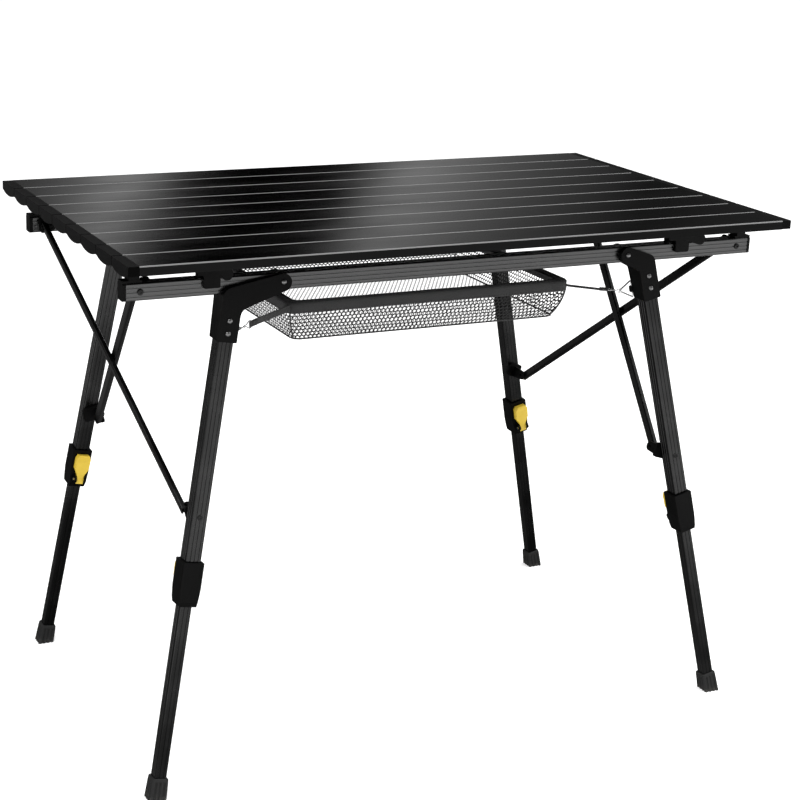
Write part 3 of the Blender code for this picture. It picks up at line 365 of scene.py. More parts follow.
# Dressing of the solids: part of the name, finish, width of the softened edges; the first that fits counts
dressings = [("slat_", slatMetal, 0.0011), ("front_rail", railMetal, 0.0004),
             ("rear_rail", railMetal, 0.0004), ("_brace_strut", braceMetal, 0.0008),
             ("_lock_lever", yellow, 0.0006), ("_foot", rubber, 0.0005),
             ("_basket_ring", brightSteel, 0.0), ("", nylon, 0.0006)]
for corner, metal in legMetals.items():
    dressings[:0] = [(corner + "_upper_leg", metal, 0.0012), (corner + "_lower_leg", metal, 0.0012)]


def dressNode(name, material, soften):
    node = nodes[name]
    if soften:
        bevel = node.modifiers.new("softEdges", "BEVEL")
        bevel.width = soften
        bevel.segments = 3
        bevel.limit_method = "ANGLE"
        bevel.angle_limit = radians(50)
        bevel.harden_normals = True
    if not node.material_slots:
        node.data.materials.append(None)
    for item in node.material_slots:
        item.link = "OBJECT"
        item.material = material


for name in nodes:
    dressNode(name, *next(dressing[1:] for dressing in dressings if dressing[0] in name))
print("solids dressed")


# Meshes
def newPiece(name, data):
    piece = bpy.data.objects.new(name, data)
    scene.collection.objects.link(piece)
    return piece


def meshPiece(name, points, faces=(), edges=(), material=None, smooth=None):
    mesh = bpy.data.meshes.new(name)
    mesh.from_pydata([tuple(point) for point in points], edges, faces)
    mesh.update()
    if faces:
        bm = bmesh.new()
        bm.from_mesh(mesh)
        bmesh.ops.remove_doubles(bm, verts=bm.verts, dist=0.000002)
        bmesh.ops.recalc_face_normals(bm, faces=bm.faces)
        if bm.calc_volume(signed=True) < 0.0:
            bmesh.ops.reverse_faces(bm, faces=bm.faces)
        bm.to_mesh(mesh)
        bm.free()
    if material:
        mesh.materials.append(material)
    if smooth:
        mesh.shade_smooth()
        mesh.set_sharp_from_angle(angle=radians(smooth))
    return newPiece(name, mesh)


def circle(radius, height, sides):
    turns = [2 * pi * index / sides for index in range(sides)]
    return [(radius * cos(turn), radius * sin(turn), height) for turn in turns]


def bandFaces(rings, sides, closed=False):
    # Faces between rings of points that follow one another
    faces = []
    for ring in range(rings if closed else rings - 1):
        low = ring * sides
        high = (ring + 1) % rings * sides
        for index in range(sides):
            after = (index + 1) % sides
            faces.append((low + index, low + after, high + after, high + index))
    return faces


def prismFaces(rings, sides):
    ends = [list(range(sides)), list(range((rings - 1) * sides, rings * sides))]
    return ends + bandFaces(rings, sides)


def lathe(name, profile, sides):
    # Profile points are (radius, height); a radius of zero is a pole
    points = []
    rows = []
    for radius, height in profile:
        if radius == 0.0:
            rows.append([len(points)] * sides)
            points.append((0.0, 0.0, height))
        else:
            rows.append([len(points) + index for index in range(sides)])
            points += circle(radius, height, sides)
    faces = []
    for low, high in zip(rows, rows[1:]):
        for index in range(sides):
            after = (index + 1) % sides
            face = []
            for corner in (low[index], low[after], high[after], high[index]):
                if corner not in face:
                    face.append(corner)
            faces.append(face)
    return meshPiece(name, points, faces, smooth=50)


def newTree(name, inputs):
    tree = bpy.data.node_groups.new(name, "GeometryNodeTree")
    tree.is_modifier = True
    tree.interface.new_socket("Geometry", in_out="INPUT", socket_type="NodeSocketGeometry")
    for label, kind in inputs:
        tree.interface.new_socket(label, in_out="INPUT", socket_type="NodeSocket" + kind)
    tree.interface.new_socket("Geometry", in_out="OUTPUT", socket_type="NodeSocketGeometry")
    maker = TreeMaker(tree)
    return tree, maker, maker.node("NodeGroupInput")


def closeTree(maker, geometry, given):
    geometry = maker.node("GeometryNodeRealizeInstances", None, {0: geometry})
    values = {"Geometry": geometry, "Material": given.also("Finish")}
    geometry = maker.node("GeometryNodeSetMaterial", None, values)
    target = maker.tree.nodes.new("NodeGroupOutput")
    maker.feed(target.inputs["Geometry"], geometry)


def makeThreadTree():
    # Every chain of edges becomes a thread, flattened along the facing attribute
    inputs = [("Radius", "Float"), ("Sides", "Int"), ("Flat", "Float"), ("Finish", "Material")]
    tree, maker, given = newTree("threadsOnEdges", inputs)
    path = maker.node("GeometryNodeMeshToCurve", None, {"Mesh": given})
    here = maker.node("GeometryNodeInputPosition")
    path = maker.node("GeometryNodeStoreNamedAttribute", {"data_type": "FLOAT_VECTOR", "domain": "POINT"},
                      {"Geometry": path, "Name": "middle", "Value": here})
    values = {"Resolution": given.also("Sides"), "Radius": given.also("Radius")}
    ring = maker.node("GeometryNodeCurvePrimitiveCircle", {"mode": "RADIUS"}, values)
    values = {"Curve": path, "Profile Curve": ring, "Fill Caps": True}
    tube = maker.node("GeometryNodeCurveToMesh", None, values)
    facing = maker.attribute("facing")
    middle = maker.attribute("middle")
    away = maker.node("ShaderNodeVectorMath", {"operation": "SUBTRACT"}, {0: here, 1: middle})
    height = maker.node("ShaderNodeVectorMath", {"operation": "DOT_PRODUCT"}, {0: away, 1: facing}, "Value")
    sink = height * given.also("Flat") * -1.0
    press = maker.node("ShaderNodeVectorMath", {"operation": "SCALE"}, {0: facing, "Scale": sink})
    tube = maker.node("GeometryNodeSetPosition", None, {"Geometry": tube, "Offset": press})
    closeTree(maker, maker.node("GeometryNodeSetShadeSmooth", None, {"Geometry": tube}), given)
    return tree


def makeHeadTree():
    # A rivet or screw head on every point, facing along the point's facing attribute
    inputs = [("Head", "Object"), ("Size", "Float"), ("Finish", "Material")]
    tree, maker, given = newTree("headsOnPoints", inputs)
    values = {"Vector": maker.attribute("facing")}
    turn = maker.node("FunctionNodeAlignRotationToVector", {"axis": "Z"}, values)
    head = maker.node("GeometryNodeObjectInfo", None, {"Object": given.also("Head")}, "Geometry")
    values = {"Points": given, "Instance": head, "Rotation": turn, "Scale": given.also("Size")}
    closeTree(maker, maker.node("GeometryNodeInstanceOnPoints", None, values), given)
    return tree


def makeStitchTree():
    # Stitches of one length, evenly along a path
    inputs = [("Stitch", "Object"), ("Pitch", "Float"), ("Finish", "Material")]
    tree, maker, given = newTree("stitchesOnPath", inputs)
    path = maker.node("GeometryNodeMeshToCurve", None, {"Mesh": given})
    values = {"Curve": path, "Length": given.also("Pitch")}
    path = maker.node("GeometryNodeResampleCurve", {"mode": "LENGTH"}, values)
    tangent = maker.node("GeometryNodeInputTangent")
    turn = maker.node("FunctionNodeAlignRotationToVector", {"axis": "X"}, {"Vector": tangent})
    stitch = maker.node("GeometryNodeObjectInfo", None, {"Object": given.also("Stitch")}, "Geometry")
    values = {"Points": path, "Instance": stitch, "Rotation": turn}
    closeTree(maker, maker.node("GeometryNodeInstanceOnPoints", None, values), given)
    return tree


threadTree = makeThreadTree()
headTree = makeHeadTree()
stitchTree = makeStitchTree()


def grow(source, tree, **inputs):
    # Runs a tree on the source and keeps the result as a plain mesh of the same name
    name = source.name
    modifier = source.modifiers.new("grow", "NODES")
    modifier.node_group = tree
    for label, value in inputs.items():
        for item in tree.interface.items_tree:
            if item.in_out == "INPUT" and item.name == label:
                modifier[item.identifier] = value
    graph = bpy.context.evaluated_depsgraph_get()
    mesh = bpy.data.meshes.new_from_object(source.evaluated_get(graph))
    bpy.data.objects.remove(source)
    mesh.name = name
    return newPiece(name, mesh)


def pathPiece(name, points, closed=False):
    count = len(points)
    edges = [(index, index + 1) for index in range(count - 1)]
    if closed:
        edges.append((count - 1, 0))
    return meshPiece(name, points, edges=edges)


def setFacing(piece, facings):
    attribute = piece.data.attributes.new("facing", "FLOAT_VECTOR", "POINT")
    attribute.data.foreach_set("vector", [value for facing in facings for value in facing])


def headsPiece(name, spots, head, size, material, body):
    # Spots are (place, facing)
    source = meshPiece(name, [place for place, facing in spots])
    setFacing(source, [facing for place, facing in spots])
    piece = grow(source, headTree, Head=head, Size=size, Finish=material)
    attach(piece, body)


# Rivets, screws and pins
headLook = {"rivetRadius": 0.0033, "rivetHeight": 0.0015, "rivetDome": 0.96, "skirt": 0.0002, "sink": -0.0004,
            "screwRadius": 0.0038, "screwHeight": 0.0017, "socketRadius": 0.0018, "socketDepth": 0.0011,
            "boltSize": 0.85, "sides": 18}


def makeRivetHead():
    radius = headLook["rivetRadius"]
    height = headLook["rivetHeight"]
    skirt = headLook["skirt"]
    profile = [(0.0, headLook["sink"]), (radius, headLook["sink"]), (radius, skirt)]
    for step in range(1, 5):
        turn = pi / 2 * step / 5
        profile.append((radius * cos(turn) * headLook["rivetDome"], skirt + height * sin(turn)))
    profile.append((0.0, skirt + height))
    return lathe("rivetHead", profile, headLook["sides"])


def makeScrewHead():
    # A low head with a six-sided socket
    radius = headLook["screwRadius"]
    top = headLook["screwHeight"]
    sides = headLook["sides"]
    points = []
    for reach, level in [(radius, headLook["sink"]), (radius, top * 0.55), (radius * 0.86, top * 0.92),
                         (radius * 0.66, top)]:
        points += circle(reach, level, sides)
    for level in (top, top - headLook["socketDepth"]):
        for index in range(sides):
            turn = 2 * pi * index / sides
            sixth = (turn + pi / 6) % (pi / 3) - pi / 6
            reach = headLook["socketRadius"] * cos(pi / 6) / cos(sixth)
            points.append((reach * cos(turn), reach * sin(turn), level))
    return meshPiece("screwHead", points, prismFaces(6, sides), smooth=30)


def addFixings():
    rivetHead = makeRivetHead()
    screwHead = makeScrewHead()
    for row, sign, body in (("front", -1, "frame"), ("rear", 1, "rear_rail")):
        spots = []
        for side in (-1, 1):
            place = Vector((side * railSizes["screwX"], sign * railSizes["outerY"], railSizes["mid"]))
            spots.append((place, Vector((0.0, sign, 0.0))))
        headsPiece(row + "_rail_screws", spots, screwHead, 1.0, screwSteel, body)
    for corner, sign, side in corners:
        facing = legFrame(side, sign)[3]
        sizes = legSizes[side]
        half = legCommon["sleeveHalf"]
        spots = [(legPoint(side, sign, 0.0, -sizes["arm"], half), facing)]
        for station in sizes["sleeveRivets"]:
            spots.append((legPoint(side, sign, station, 0.0, half), facing))
        headsPiece(corner + "_leg_rivets", spots, rivetHead, 1.0, rivetSteel, corner + "_leg")
        spots = [(legPoint(side, sign, legCommon["bolt"], 0.0, legCommon["tubeHalf"]), facing)]
        headsPiece(corner + "_leg_bolt", spots, screwHead, headLook["boltSize"], screwSteel, corner + "_leg")
    for head in (rivetHead, screwHead):
        bpy.data.objects.remove(head)
    print("rivets and screws made")


addFixings()


# Net basket
netLook = {"middleX": -0.010, "halfLength": 0.200, "halfWidth": 0.153, "corner": 0.012, "inset": 0.014,
           "bottomZ": 0.535, "rimZ": 0.585, "rimHeight": 0.014, "rimWidth": 0.015, "bandWall": 0.0016,
           "cellWidth": 0.0059, "cellHeight": 0.0047, "zigzag": 0.34, "wallThread": 0.00086,
           "bottomThread": 0.00068, "threadSides": 4, "threadFlat": 0.76, "cordSides": 8, "cord": 0.0011,
           "belly": 2.2, "bottomSag": 0.004, "wallSag": 0.0022, "sagEnd": 0.8, "stitchPitch": 0.0042,
           "ringSteps": 240, "seamSteps": 160, "seamTop": 0.82, "under": 0.001}


def basketHalves(inset):
    return netLook["halfLength"] - inset, netLook["halfWidth"] - inset


def ringPoint(share, inset, z):
    # A point of the rounded oblong round the basket, by its share of the way round, and the way outwards
    a, b = basketHalves(inset)
    r = max(netLook["corner"] - inset * 0.2, 0.003)
    runs = [2 * (a - r), pi * r / 2, 2 * (b - r), pi * r / 2] * 2
    way = (share % 1.0) * sum(runs)
    starts = [(-(a - r), -b), (a - r, -(b - r)), (a, -(b - r)), (a - r, b - r),
              (a - r, b), (-(a - r), b - r), (-a, b - r), (-(a - r), -(b - r))]
    index = 0
    while index < 7 and way > runs[index]:
        way -= runs[index]
        index += 1
    heading = (index // 2) * pi / 2
    if index % 2 == 0:
        outward = Vector((sin(heading), -cos(heading), 0.0))
        point = Vector((*starts[index], z)) + Vector((cos(heading), sin(heading), 0.0)) * way
    else:
        turn = heading - pi / 2 + way / r
        outward = Vector((cos(turn), sin(turn), 0.0))
        point = Vector((*starts[index], z)) + outward * r
    point.x += netLook["middleX"]
    return point, outward


def wallPoint(share, height):
    # Height runs from 0 at the bottom seam to 1 at the rim's top
    z = netLook["bottomZ"] + (netLook["rimZ"] - netLook["bottomZ"]) * height
    point, outward = ringPoint(share, netLook["inset"] * (1.0 - height) ** netLook["belly"], z)
    a, b = basketHalves(0.0)
    ends = (1.0 - (abs(point.x - netLook["middleX"]) / a) ** 4) * (abs(outward.y) > 0.9)
    sides = (1.0 - (abs(point.y) / b) ** 4) * (abs(outward.x) > 0.9)
    sag = netLook["wallSag"] * max(ends + sides, 0.0)
    return point - outward * sag * sin(pi * min(height / netLook["sagEnd"], 1.0))


def bottomPoint(x, y):
    a, b = basketHalves(netLook["inset"])
    fall = max(0.0, 1.0 - (x / a) ** 2) * max(0.0, 1.0 - (y / b) ** 2)
    return Vector((x + netLook["middleX"], y, netLook["bottomZ"] - netLook["bottomSag"] * sqrt(fall)))


def knit(name, points, edges, facings, radius):
    # Threads along the edges, flattened against the net's face
    net = meshPiece(name, points, edges=edges)
    setFacing(net, facings)
    return grow(net, threadTree, Radius=radius, Sides=netLook["threadSides"], Flat=netLook["threadFlat"],
                Finish=netThread)


def addWallNet():
    rise = netLook["rimZ"] - netLook["bottomZ"]
    top = (rise - netLook["rimHeight"] + netLook["under"]) / rise
    rows = round(sqrt(rise ** 2 + netLook["inset"] ** 2) * top / netLook["cellHeight"])
    around = 4 * sum(basketHalves(netLook["inset"] / 2))
    steps = 2 * round(around / netLook["cellWidth"])
    swing = netLook["zigzag"] / 2
    slope = Vector((0.0, 0.0, netLook["inset"] / rise))
    points = []
    edges = []
    facings = []
    for row in range(rows + 1):
        for step in range(steps):
            lift = swing if (step + row) % 2 == 0 else -swing
            height = min(max((row + lift) / rows, 0.0), 1.0) * top
            points.append(wallPoint(step / steps, height))
            facings.append((ringPoint(step / steps, 0.0, 0.0)[1] - slope).normalized())
            here = row * steps + step
            edges.append((here, row * steps + (step + 1) % steps))
            if row < rows and (step + row) % 2 == 0:
                edges.append((here, here + steps))
    return knit("net_walls", points, edges, facings, netLook["wallThread"])


def insideBottom(x, y):
    a, b = basketHalves(netLook["inset"])
    r = netLook["corner"]
    if abs(x) > a or abs(y) > b:
        return False
    over = (max(abs(x) - (a - r), 0.0), max(abs(y) - (b - r), 0.0))
    return over[0] ** 2 + over[1] ** 2 <= r * r


def addBottomNet():
    wide = netLook["cellWidth"]
    tall = netLook["cellHeight"]
    swing = netLook["zigzag"] / 2
    columns = int(2 * netLook["halfLength"] / wide) + 4
    rows = int(2 * netLook["halfWidth"] / tall) + 4
    points = []
    edges = []

    def lattice(step, row):
        lift = swing if (step + row) % 2 == 0 else -swing
        return Vector(((step - columns) * wide / 2, (row - rows / 2 + lift) * tall))

    def addEdge(first, second):
        # An edge that leaves the bottom ends at the seam
        if not insideBottom(*first):
            first, second = second, first
        if not insideBottom(*first):
            return
        if not insideBottom(*second):
            near, far = 0.0, 1.0
            for trial in range(12):
                middle = (near + far) / 2
                if insideBottom(*first.lerp(second, middle)):
                    near = middle
                else:
                    far = middle
            second = first.lerp(second, near)
        points.extend([bottomPoint(*first), bottomPoint(*second)])
        edges.append((len(points) - 2, len(points) - 1))

    for row in range(rows + 1):
        for step in range(2 * columns):
            addEdge(lattice(step, row), lattice(step + 1, row))
            if (step + row) % 2 == 0:
                addEdge(lattice(step, row), lattice(step, row + 1))
    return knit("net_bottom", points, edges, [(0.0, 0.0, 1.0)] * len(points), netLook["bottomThread"])


def sweepRing(name, section, steps, material):
    # Section points are (distance inwards from the outer face, height)
    points = []
    for step in range(steps):
        points += [ringPoint(step / steps, inwards, z)[0] for inwards, z in section]
    return meshPiece(name, points, bandFaces(steps, len(section), True), material=material, smooth=40)


def rimSection():
    # A band that stands outside the net and folds inwards to a flat lip at the top
    top = netLook["rimZ"]
    low = top - netLook["rimHeight"]
    wall = netLook["bandWall"]
    width = netLook["rimWidth"]
    return [(0.0004, low), (0.0, low + 0.0006), (0.0, top - 0.0012), (0.0012, top),
            (width * 0.5, top - 0.0004), (width - 0.0006, top - 0.0007), (width, top - 0.0012),
            (width - 0.0002, top - 0.0022), (width * 0.5, top - wall - 0.0004),
            (wall + 0.0012, top - wall - 0.0002), (wall, top - wall - 0.0012), (wall, low + 0.0006),
            (wall - 0.0004, low)]


strapLook = {"width": 0.008, "thickness": 0.0016, "startIn": 0.004, "hookRoom": 0.015, "sag": 0.0012,
             "ringSpan": 0.0235, "ringOut": 0.0020, "ringStand": 0.0042, "ringTip": (-0.019, -0.001, -0.002),
             "tipEase": 0.0030, "start": [(0.0, 1.0), (0.006, 1.0)],
             "fold": [(-0.0125, 1.0), (-0.0115, 1.7), (-0.004, 1.75), (-0.0015, 1.9), (0.0, 1.5),
                      (0.0008, 0.7)],
             "box": (-0.011, -0.004), "boxHalf": 0.72, "boxLift": 1.78, "boxPitch": 0.0019}


def strapEnds(side, sign):
    # The strap's start at the rim, and the ring's tip that its hook holds
    ring = legSizes[side]["ring"]
    out = strapLook["ringOut"] - legCommon["sleeveHalf"]
    behind = -(legCommon["sleeveHalf"] + strapLook["ringStand"])
    upper = legPoint(side, sign, ring - strapLook["ringSpan"], out, behind)
    lower = legPoint(side, sign, ring, out, behind)
    tip = (upper + lower) / 2 + Matrix.Diagonal((side, sign, 1.0)) @ Vector(strapLook["ringTip"])
    toward = ((upper - tip).normalized() + (lower - tip).normalized()) / 4
    a, b = basketHalves(strapLook["startIn"])
    level = netLook["rimZ"] - netLook["rimHeight"] * 0.5
    start = Vector((netLook["middleX"] + side * a, sign * b, level))
    return start, tip + toward * strapLook["tipEase"]


def addStraps(stitch):
    pieces = []
    half = strapLook["width"] / 2
    wall = strapLook["thickness"] / 2
    section = [(-half, -wall * 0.5), (-half * 0.9, -wall), (half * 0.9, -wall), (half, -wall * 0.5),
               (half, wall * 0.5), (half * 0.9, wall), (-half * 0.9, wall), (-half, wall * 0.5)]
    for corner, sign, side in corners:
        start, tip = strapEnds(side, sign)
        along = (tip - start).normalized()
        flat = along.cross(Vector((0, 0, 1))).normalized()
        thick = flat.cross(along).normalized()
        # The right straps lie level; the left ones hang on edge
        if side < 0:
            flat, thick = thick, -flat
        length = (tip - start).length - strapLook["hookRoom"]
        stations = strapLook["start"] + [(length + back, swell) for back, swell in strapLook["fold"]]
        points = []
        for station, swell in stations:
            sag = strapLook["sag"] * sin(pi * min(station / length, 1.0))
            for across, height in section:
                points.append(start + along * station + flat * across + thick * (height * swell - sag))
        faces = prismFaces(len(stations), len(section))
        pieces.append(meshPiece("strap_" + corner, points, faces, material=webbing, smooth=35))
        # Box stitching on both faces of the fold
        near, far = strapLook["box"]
        wide = half * strapLook["boxHalf"]
        points = []
        for turn in (-1, 1):
            lift = thick * turn * wall * strapLook["boxLift"]
            for back, across in [(near, -wide), (far, -wide), (far, wide), (near, wide)]:
                points.append(start + along * (length + back) + flat * across + lift)
        edges = [(0, 1), (1, 2), (2, 3), (3, 0), (4, 5), (5, 6), (6, 7), (7, 4)]
        source = meshPiece("strap_stitches_" + corner, points, edges=edges)
        pieces.append(grow(source, stitchTree, Stitch=stitch, Pitch=strapLook["boxPitch"], Finish=netThread))
        pieces.append(addHook(corner, start + along * length, along, flat, thick))
    return pieces


hookLook = {"wire": 0.0007, "sides": 8, "reach": 0.015, "lane": 0.0009, "curl": 0.0024, "drift": 0.00018,
            "eye": [(-0.0016, 0.0046), (0.0006, 0.0049), (0.0052, 0.0016), (0.0070, 0.0009)], "tail": 0.0092}


def addHook(corner, end, along, flat, thick):
    # Bent wire: an eye through the strap's fold, drawn together and hooked round the ring's tip
    def place(a, b, c=0.0):
        return end + along * a + flat * b + thick * c

    points = []
    for step in range(8, -1, -1):
        turn = pi * 0.75 - step * (1.55 * pi / 8)
        a = hookLook["reach"] - 0.0008 + hookLook["curl"] * cos(turn)
        points.append(place(a, hookLook["lane"] - hookLook["drift"] * step, hookLook["curl"] * sin(turn)))
    points.append(place(hookLook["reach"] - 0.0035, hookLook["lane"], 0.0006))
    points += [place(a, b) for a, b in hookLook["eye"][::-1]]
    points += [place(a, -b) for a, b in hookLook["eye"]]
    points.append(place(hookLook["tail"], -hookLook["lane"]))
    source = pathPiece("strap_hook_" + corner, points)
    return grow(source, threadTree, Radius=hookLook["wire"], Sides=hookLook["sides"], Finish=brightSteel)


def cornerShares():
    # How far round the rim the middle of each corner lies
    r = netLook["corner"]
    runs = [2 * (half - r) for half in basketHalves(0.0)]
    quarter = pi * r / 2
    shares = []
    way = 0.0
    for run in runs * 2:
        shares.append((way + run + quarter / 2) / (2 * (sum(runs) + 2 * quarter)))
        way += run + quarter
    return shares


def addBasket():
    profile = [(0.0, -0.0011), (0.00028, -0.0008), (0.00034, 0.0), (0.00028, 0.0008), (0.0, 0.0011)]
    stitch = lathe("stitch", profile, 6)
    stitch.data.transform(Matrix.Rotation(pi / 2, 4, "Y"))
    walls = addWallNet()
    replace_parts(walls, "net_basket")
    steps = netLook["ringSteps"]
    pieces = [walls, addBottomNet(), sweepRing("net_rim", rimSection(), steps, webbing)]
    around = netLook["seamSteps"]
    ring = [ringPoint(step / around, netLook["inset"], netLook["bottomZ"])[0] for step in range(around)]
    points = []
    edges = []
    for share in cornerShares():
        for step in range(9):
            points.append(wallPoint(share, netLook["seamTop"] * step / 8))
            if step:
                edges.append((len(points) - 2, len(points) - 1))
    seams = (pathPiece("net_bottom_seam", ring, True), meshPiece("net_corner_seams", points, edges=edges))
    for seam in seams:
        pieces.append(grow(seam, threadTree, Radius=netLook["cord"], Sides=netLook["cordSides"],
                           Finish=webbing))
    low = netLook["rimZ"] - netLook["rimHeight"]
    top = netLook["rimZ"]
    for label, inwards, z in (("low", -0.0001, low + 0.0021), ("high", -0.0001, top - 0.0024),
                              ("lip", netLook["rimWidth"] - 0.0026, top - 0.0005)):
        path = [ringPoint(step / steps, inwards, z)[0] for step in range(steps)]
        source = pathPiece("net_rim_stitches_" + label, path, True)
        pieces.append(grow(source, stitchTree, Stitch=stitch, Pitch=netLook["stitchPitch"], Finish=netThread))
    pieces += addStraps(stitch)
    bpy.data.objects.remove(stitch)
    for piece in pieces:
        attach(piece, "basket")
        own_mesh(piece)
    print("basket made:", len(pieces), "pieces")


addBasket()


# Levers: finger ribs and the pale ends of the pin
leverLook = {"ribs": 4, "ribPitch": 0.0025, "ribHalf": 0.0066, "ribRadius": 0.00055, "ribSides": 8,
             "ribStand": 0.0002, "firstRib": 0.0040, "firstStand": 0.0008, "firstWidth": 0.88,
             "pinReach": 0.0092,
             "pin": [(0.0, -0.0003), (0.00175, -0.0003), (0.00175, 0.0003), (0.0012, 0.0006), (0.0, 0.0007)]}


def addLevers():
    pinHead = lathe("pinHead", leverLook["pin"], 12)
    station = legCommon["collarTop"] + legCommon["earStation"]
    top = station - legCommon["leverHeight"]
    earY = -(legCommon["collarHalf"] + legCommon["earStand"])
    face = -(legCommon["collarHalf"] + legCommon["seat"] + legCommon["leverThickness"])
    for corner, sign, side in corners:
        points = []
        edges = []
        for rib in range(leverLook["ribs"]):
            level = top + leverLook["firstRib"] + rib * leverLook["ribPitch"]
            depth = face + leverLook["ribStand" if rib else "firstStand"]
            half = leverLook["ribHalf"] * (1.0 if rib else leverLook["firstWidth"])
            points += [legPoint(side, sign, level, across, depth) for across in (-half, half)]
            edges.append((len(points) - 2, len(points) - 1))
        ribs = grow(meshPiece("lever_ribs_" + corner, points, edges=edges), threadTree,
                    Radius=leverLook["ribRadius"], Sides=leverLook["ribSides"], Finish=yellow)
        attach(ribs, corner + "_lever")
        out = legFrame(side, sign)[2]
        spots = []
        for turn in (-1, 1):
            spots.append((legPoint(side, sign, station, turn * leverLook["pinReach"], earY), out * turn))
        headsPiece("lever_pin_ends_" + corner, spots, pinHead, 1.0, brightSteel, corner + "_lever")
    bpy.data.objects.remove(pinHead)
    print("levers dressed")


addLevers()


# Feet: straight sleeves with upright ribs, cut level at the floor
footLook = {"height": 0.028, "ribs": 3, "ribDepth": 0.0013, "ribHalf": 0.15, "ribSpan": 0.78, "corner": 0.86,
            "rows": [(0.0, 0.0092, 0.0), (0.0006, 0.0098, 0.0), (0.0040, 0.0101, 0.0), (0.0052, 0.0102, 1.0),
                     (0.0160, 0.0106, 1.0), (0.0400, 0.0113, 1.0)]}


def footSection(half, depth):
    # Going round the square, (out, normal) pairs; the ribs are what stands between the grooves
    side = [(-footLook["corner"], 0.0)]
    for rib in range(footLook["ribs"]):
        middle = footLook["ribSpan"] * (2.0 * (rib + 0.5) / footLook["ribs"] - 1.0)
        narrow = footLook["ribHalf"] * 0.5
        side += [(middle - footLook["ribHalf"], 0.0), (middle - narrow, depth), (middle + narrow, depth),
                 (middle + footLook["ribHalf"], 0.0)]
    side.append((footLook["corner"], 0.0))
    points = []
    for turn in range(4):
        for along, sunk in side:
            a, b = half * along, -(half - footLook["ribDepth"] * sunk)
            for quarter in range(turn):
                a, b = -b, a
            points.append((a, b))
    return points


def addFeet():
    for corner, sign, side in corners:
        origin, down, out, normal = legFrame(side, sign)
        length = origin.z / -down.z
        points = []
        for station, half, depth in footLook["rows"]:
            middle = origin + down * (length - footLook["height"] + station)
            points += [middle + out * across + normal * over for across, over in footSection(half, depth)]
        rows = len(footLook["rows"])
        faces = prismFaces(rows, len(points) // rows)
        foot = meshPiece("foot_sleeve_" + corner, points, faces, material=rubber)
        bm = bmesh.new()
        bm.from_mesh(foot.data)
        parts = bm.verts[:] + bm.edges[:] + bm.faces[:]
        made = bmesh.ops.bisect_plane(bm, geom=parts, plane_co=(0, 0, 0.0001), plane_no=(0, 0, -1),
                                      clear_outer=True)
        rim = [item for item in made["geom_cut"] if isinstance(item, bmesh.types.BMEdge)]
        bmesh.ops.edgeloop_fill(bm, edges=rim)
        bmesh.ops.recalc_face_normals(bm, faces=bm.faces)
        bm.to_mesh(foot.data)
        bm.free()
        foot.data.shade_smooth()
        foot.data.set_sharp_from_angle(angle=radians(28))
        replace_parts(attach(foot, corner + "_lower_leg"), corner + "_foot")
    print("feet made")


addFeet()


# Stage
stageLook = {"floorHalf": 30.0, "floorColour": tone(0.90), "floorPale": tone(0.92), "floorSeen": 0.36,
             "backdrop": 1.05, "ambient": 0.75, "dimRoom": 0.20}


def plane(name, left, right, front, back, level):
    points = [(left, front, level), (right, front, level), (right, back, level), (left, back, level)]
    return meshPiece(name, points, [(0, 1, 2, 3)])


def addFloor():
    half = stageLook["floorHalf"]
    floor = plane("floor", -half, half, -half, half, 0.0)
    finish = Finish("floorPale", {"Roughness": 0.9, "Specular_IOR_Level": 0.1})
    grain = finish.noise(3.0, 2.0, 0.5)
    finish.set(Base_Color=finish.mix(grain, stageLook["floorColour"], stageLook["floorPale"]))
    rays = finish.node("ShaderNodeLightPath", output="Is Camera Ray")
    glow = finish.mix(rays, tone(0.0), tone(stageLook["floorSeen"]))
    finish.set(Emission_Color=glow, Emission_Strength=1.0)
    floor.data.materials.append(finish.material)


def addWorld():
    # The backdrop is white; reflections see a dim room round the lit floor, the cards and the lights
    world = bpy.data.worlds.new("studio")
    scene.world = world
    world.use_nodes = True
    maker = TreeMaker(world.node_tree)
    background = world.node_tree.nodes["Background"]
    seen = maker.node("ShaderNodeLightPath", output="Is Camera Ray")
    shiny = seen.also("Is Glossy Ray")
    level = stageLook["ambient"]
    strength = shiny * (stageLook["dimRoom"] - level) + seen * (stageLook["backdrop"] - level) + level
    maker.feed(background.inputs["Color"], (1.0, 1.0, 1.0, 1.0))
    maker.feed(background.inputs["Strength"], strength)


# The card behind the table that the slats mirror: its levels are brightness by place, in metres
cardLook = {"y": 6.0, "left": 0.2, "right": 6.2, "low": 0.9, "high": 3.9, "lean": 0.5, "leanFrom": 2.0,
            "levels": [(1.0, 0.06), (1.30, 0.20), (1.48, 0.50), (1.60, 0.52), (1.74, 0.20), (1.86, 0.02),
                       (2.00, 0.0), (2.76, 0.0), (2.90, 0.22), (3.00, 0.42), (3.12, 0.46), (3.28, 0.38),
                       (3.50, 0.23), (3.75, 0.15), (4.00, 0.10), (4.30, 0.06), (4.60, 0.015), (5.3, 0.04)]}


def makeGlow(name):
    return Finish(name, {"Roughness": 1.0, "Specular_IOR_Level": 0.0, "Base_Color": tone(0.0),
                         "Emission_Strength": 1.0})


def hideCard(card, finish):
    # Only reflections see it
    card.data.materials.append(finish.material)
    card.visible_camera = False
    card.visible_diffuse = False
    card.visible_shadow = False


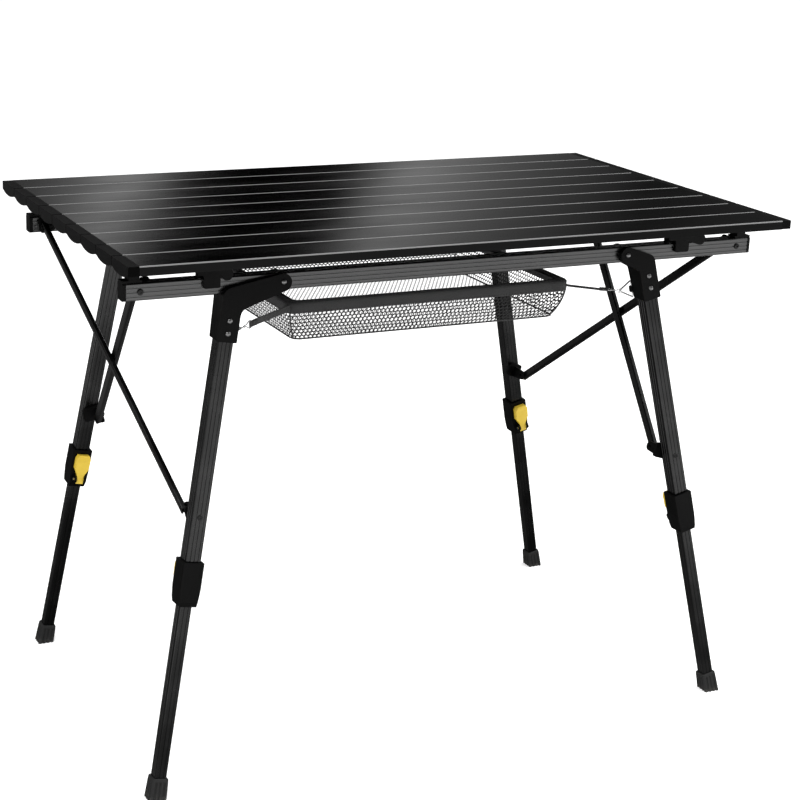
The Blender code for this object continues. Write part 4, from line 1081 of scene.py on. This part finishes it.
def addCard():
    left = cardLook["left"]
    right = cardLook["right"]
    y = cardLook["y"]
    points = [(left, y, cardLook["low"]), (right, y, cardLook["low"]), (right, y, cardLook["high"]),
              (left, y, cardLook["high"])]
    finish = makeGlow("cardGlow")
    across = finish.axes()
    way = (across + (across.also("Z") - cardLook["leanFrom"]) * cardLook["lean"] - left) / (right - left)
    stops = [((place - left) / (right - left), tone(level)) for place, level in cardLook["levels"]]
    finish.set(Emission_Color=finish.node("ShaderNodeValToRGB", {"stops": stops}, {0: way}))
    hideCard(meshPiece("softCard", points, [(0, 1, 2, 3)]), finish)


groundLook = {"place": (-4.5, 1.1, -0.95, 6.0, 0.002), "fade": (-0.95, 0.05), "front": tone(0.75),
              "back": tone(0.11)}


def addDarkGround():
    # Metal mirrors a dark ground under and behind the table; the front faces still mirror the lit floor
    finish = makeGlow("groundDark")
    fade = finish.axes().also("Y").fade(*groundLook["fade"])
    finish.set(Emission_Color=finish.mix(fade, groundLook["front"], groundLook["back"]))
    hideCard(plane("darkGround", *groundLook["place"]), finish)


stripLook = {"middle": tone(4.0), "edge": tone(0.5), "level": 0.003}


def addStrip(name, left, right, front, back):
    # A bright strip low at the side, mirrored only by rounded edges and grooves
    finish = makeGlow(name + "Glow")
    width = right - left
    fade = (finish.axes() - (left + right) / 2).size().fade(width * 0.3, width * 0.5, 1.0, 0.0)
    finish.set(Emission_Color=finish.mix(fade, stripLook["edge"], stripLook["middle"]))
    hideCard(plane(name, left, right, front, back, stripLook["level"]), finish)


def addLight(name, place, target, size, power):
    light = bpy.data.lights.new(name, "AREA")
    light.shape = "RECTANGLE"
    light.size = size
    light.size_y = size
    light.energy = power
    lamp = newPiece(name, light)
    lamp.location = place
    lamp.rotation_euler = (Vector(target) - Vector(place)).to_track_quat("-Z", "Y").to_euler()
    lamp.visible_camera = False


cameraLook = {"place": (-1.0682, -2.1030, 1.1337), "pitch": radians(-17.435), "yaw": radians(25.544),
              "roll": radians(1.987), "sensor": 36.0, "lens": 81.6, "shift": 0.075}


def addCamera():
    pitch = cameraLook["pitch"]
    yaw = cameraLook["yaw"]
    roll = cameraLook["roll"]
    ahead = Vector((sin(yaw) * cos(pitch), cos(yaw) * cos(pitch), sin(pitch)))
    right = Vector((cos(yaw), -sin(yaw), 0.0))
    upward = right.cross(ahead)
    across = right * cos(roll) + upward * sin(roll)
    upright = upward * cos(roll) - right * sin(roll)
    lens = bpy.data.cameras.new("camera")
    lens.sensor_width = cameraLook["sensor"]
    lens.lens = cameraLook["lens"]
    lens.shift_x = cameraLook["shift"]
    camera = newPiece("camera", lens)
    columns = Matrix((across, upright, -ahead)).transposed()
    camera.matrix_world = Matrix.Translation(cameraLook["place"]) @ columns.to_4x4()
    scene.camera = camera


addFloor()
addWorld()
addCard()
addDarkGround()
addStrip("leftStrip", -2.3, -1.2, -1.7, -0.3)
addStrip("rightStrip", 1.2, 2.5, -1.2, 1.2)
addLight("topLight", (1.3, -0.3, 3.1), (1.3, -0.3, 0.0), 2.6, 70.0)
addLight("keyLight", (-2.2, -2.6, 3.4), (0.0, 0.0, 0.4), 2.4, 120.0)
addLight("fillLight", (3.2, -1.4, 2.2), (0.0, 0.0, 0.4), 2.0, 45.0)
addCamera()
scene.view_settings.view_transform = "Standard"
print("stage, lights and camera made")
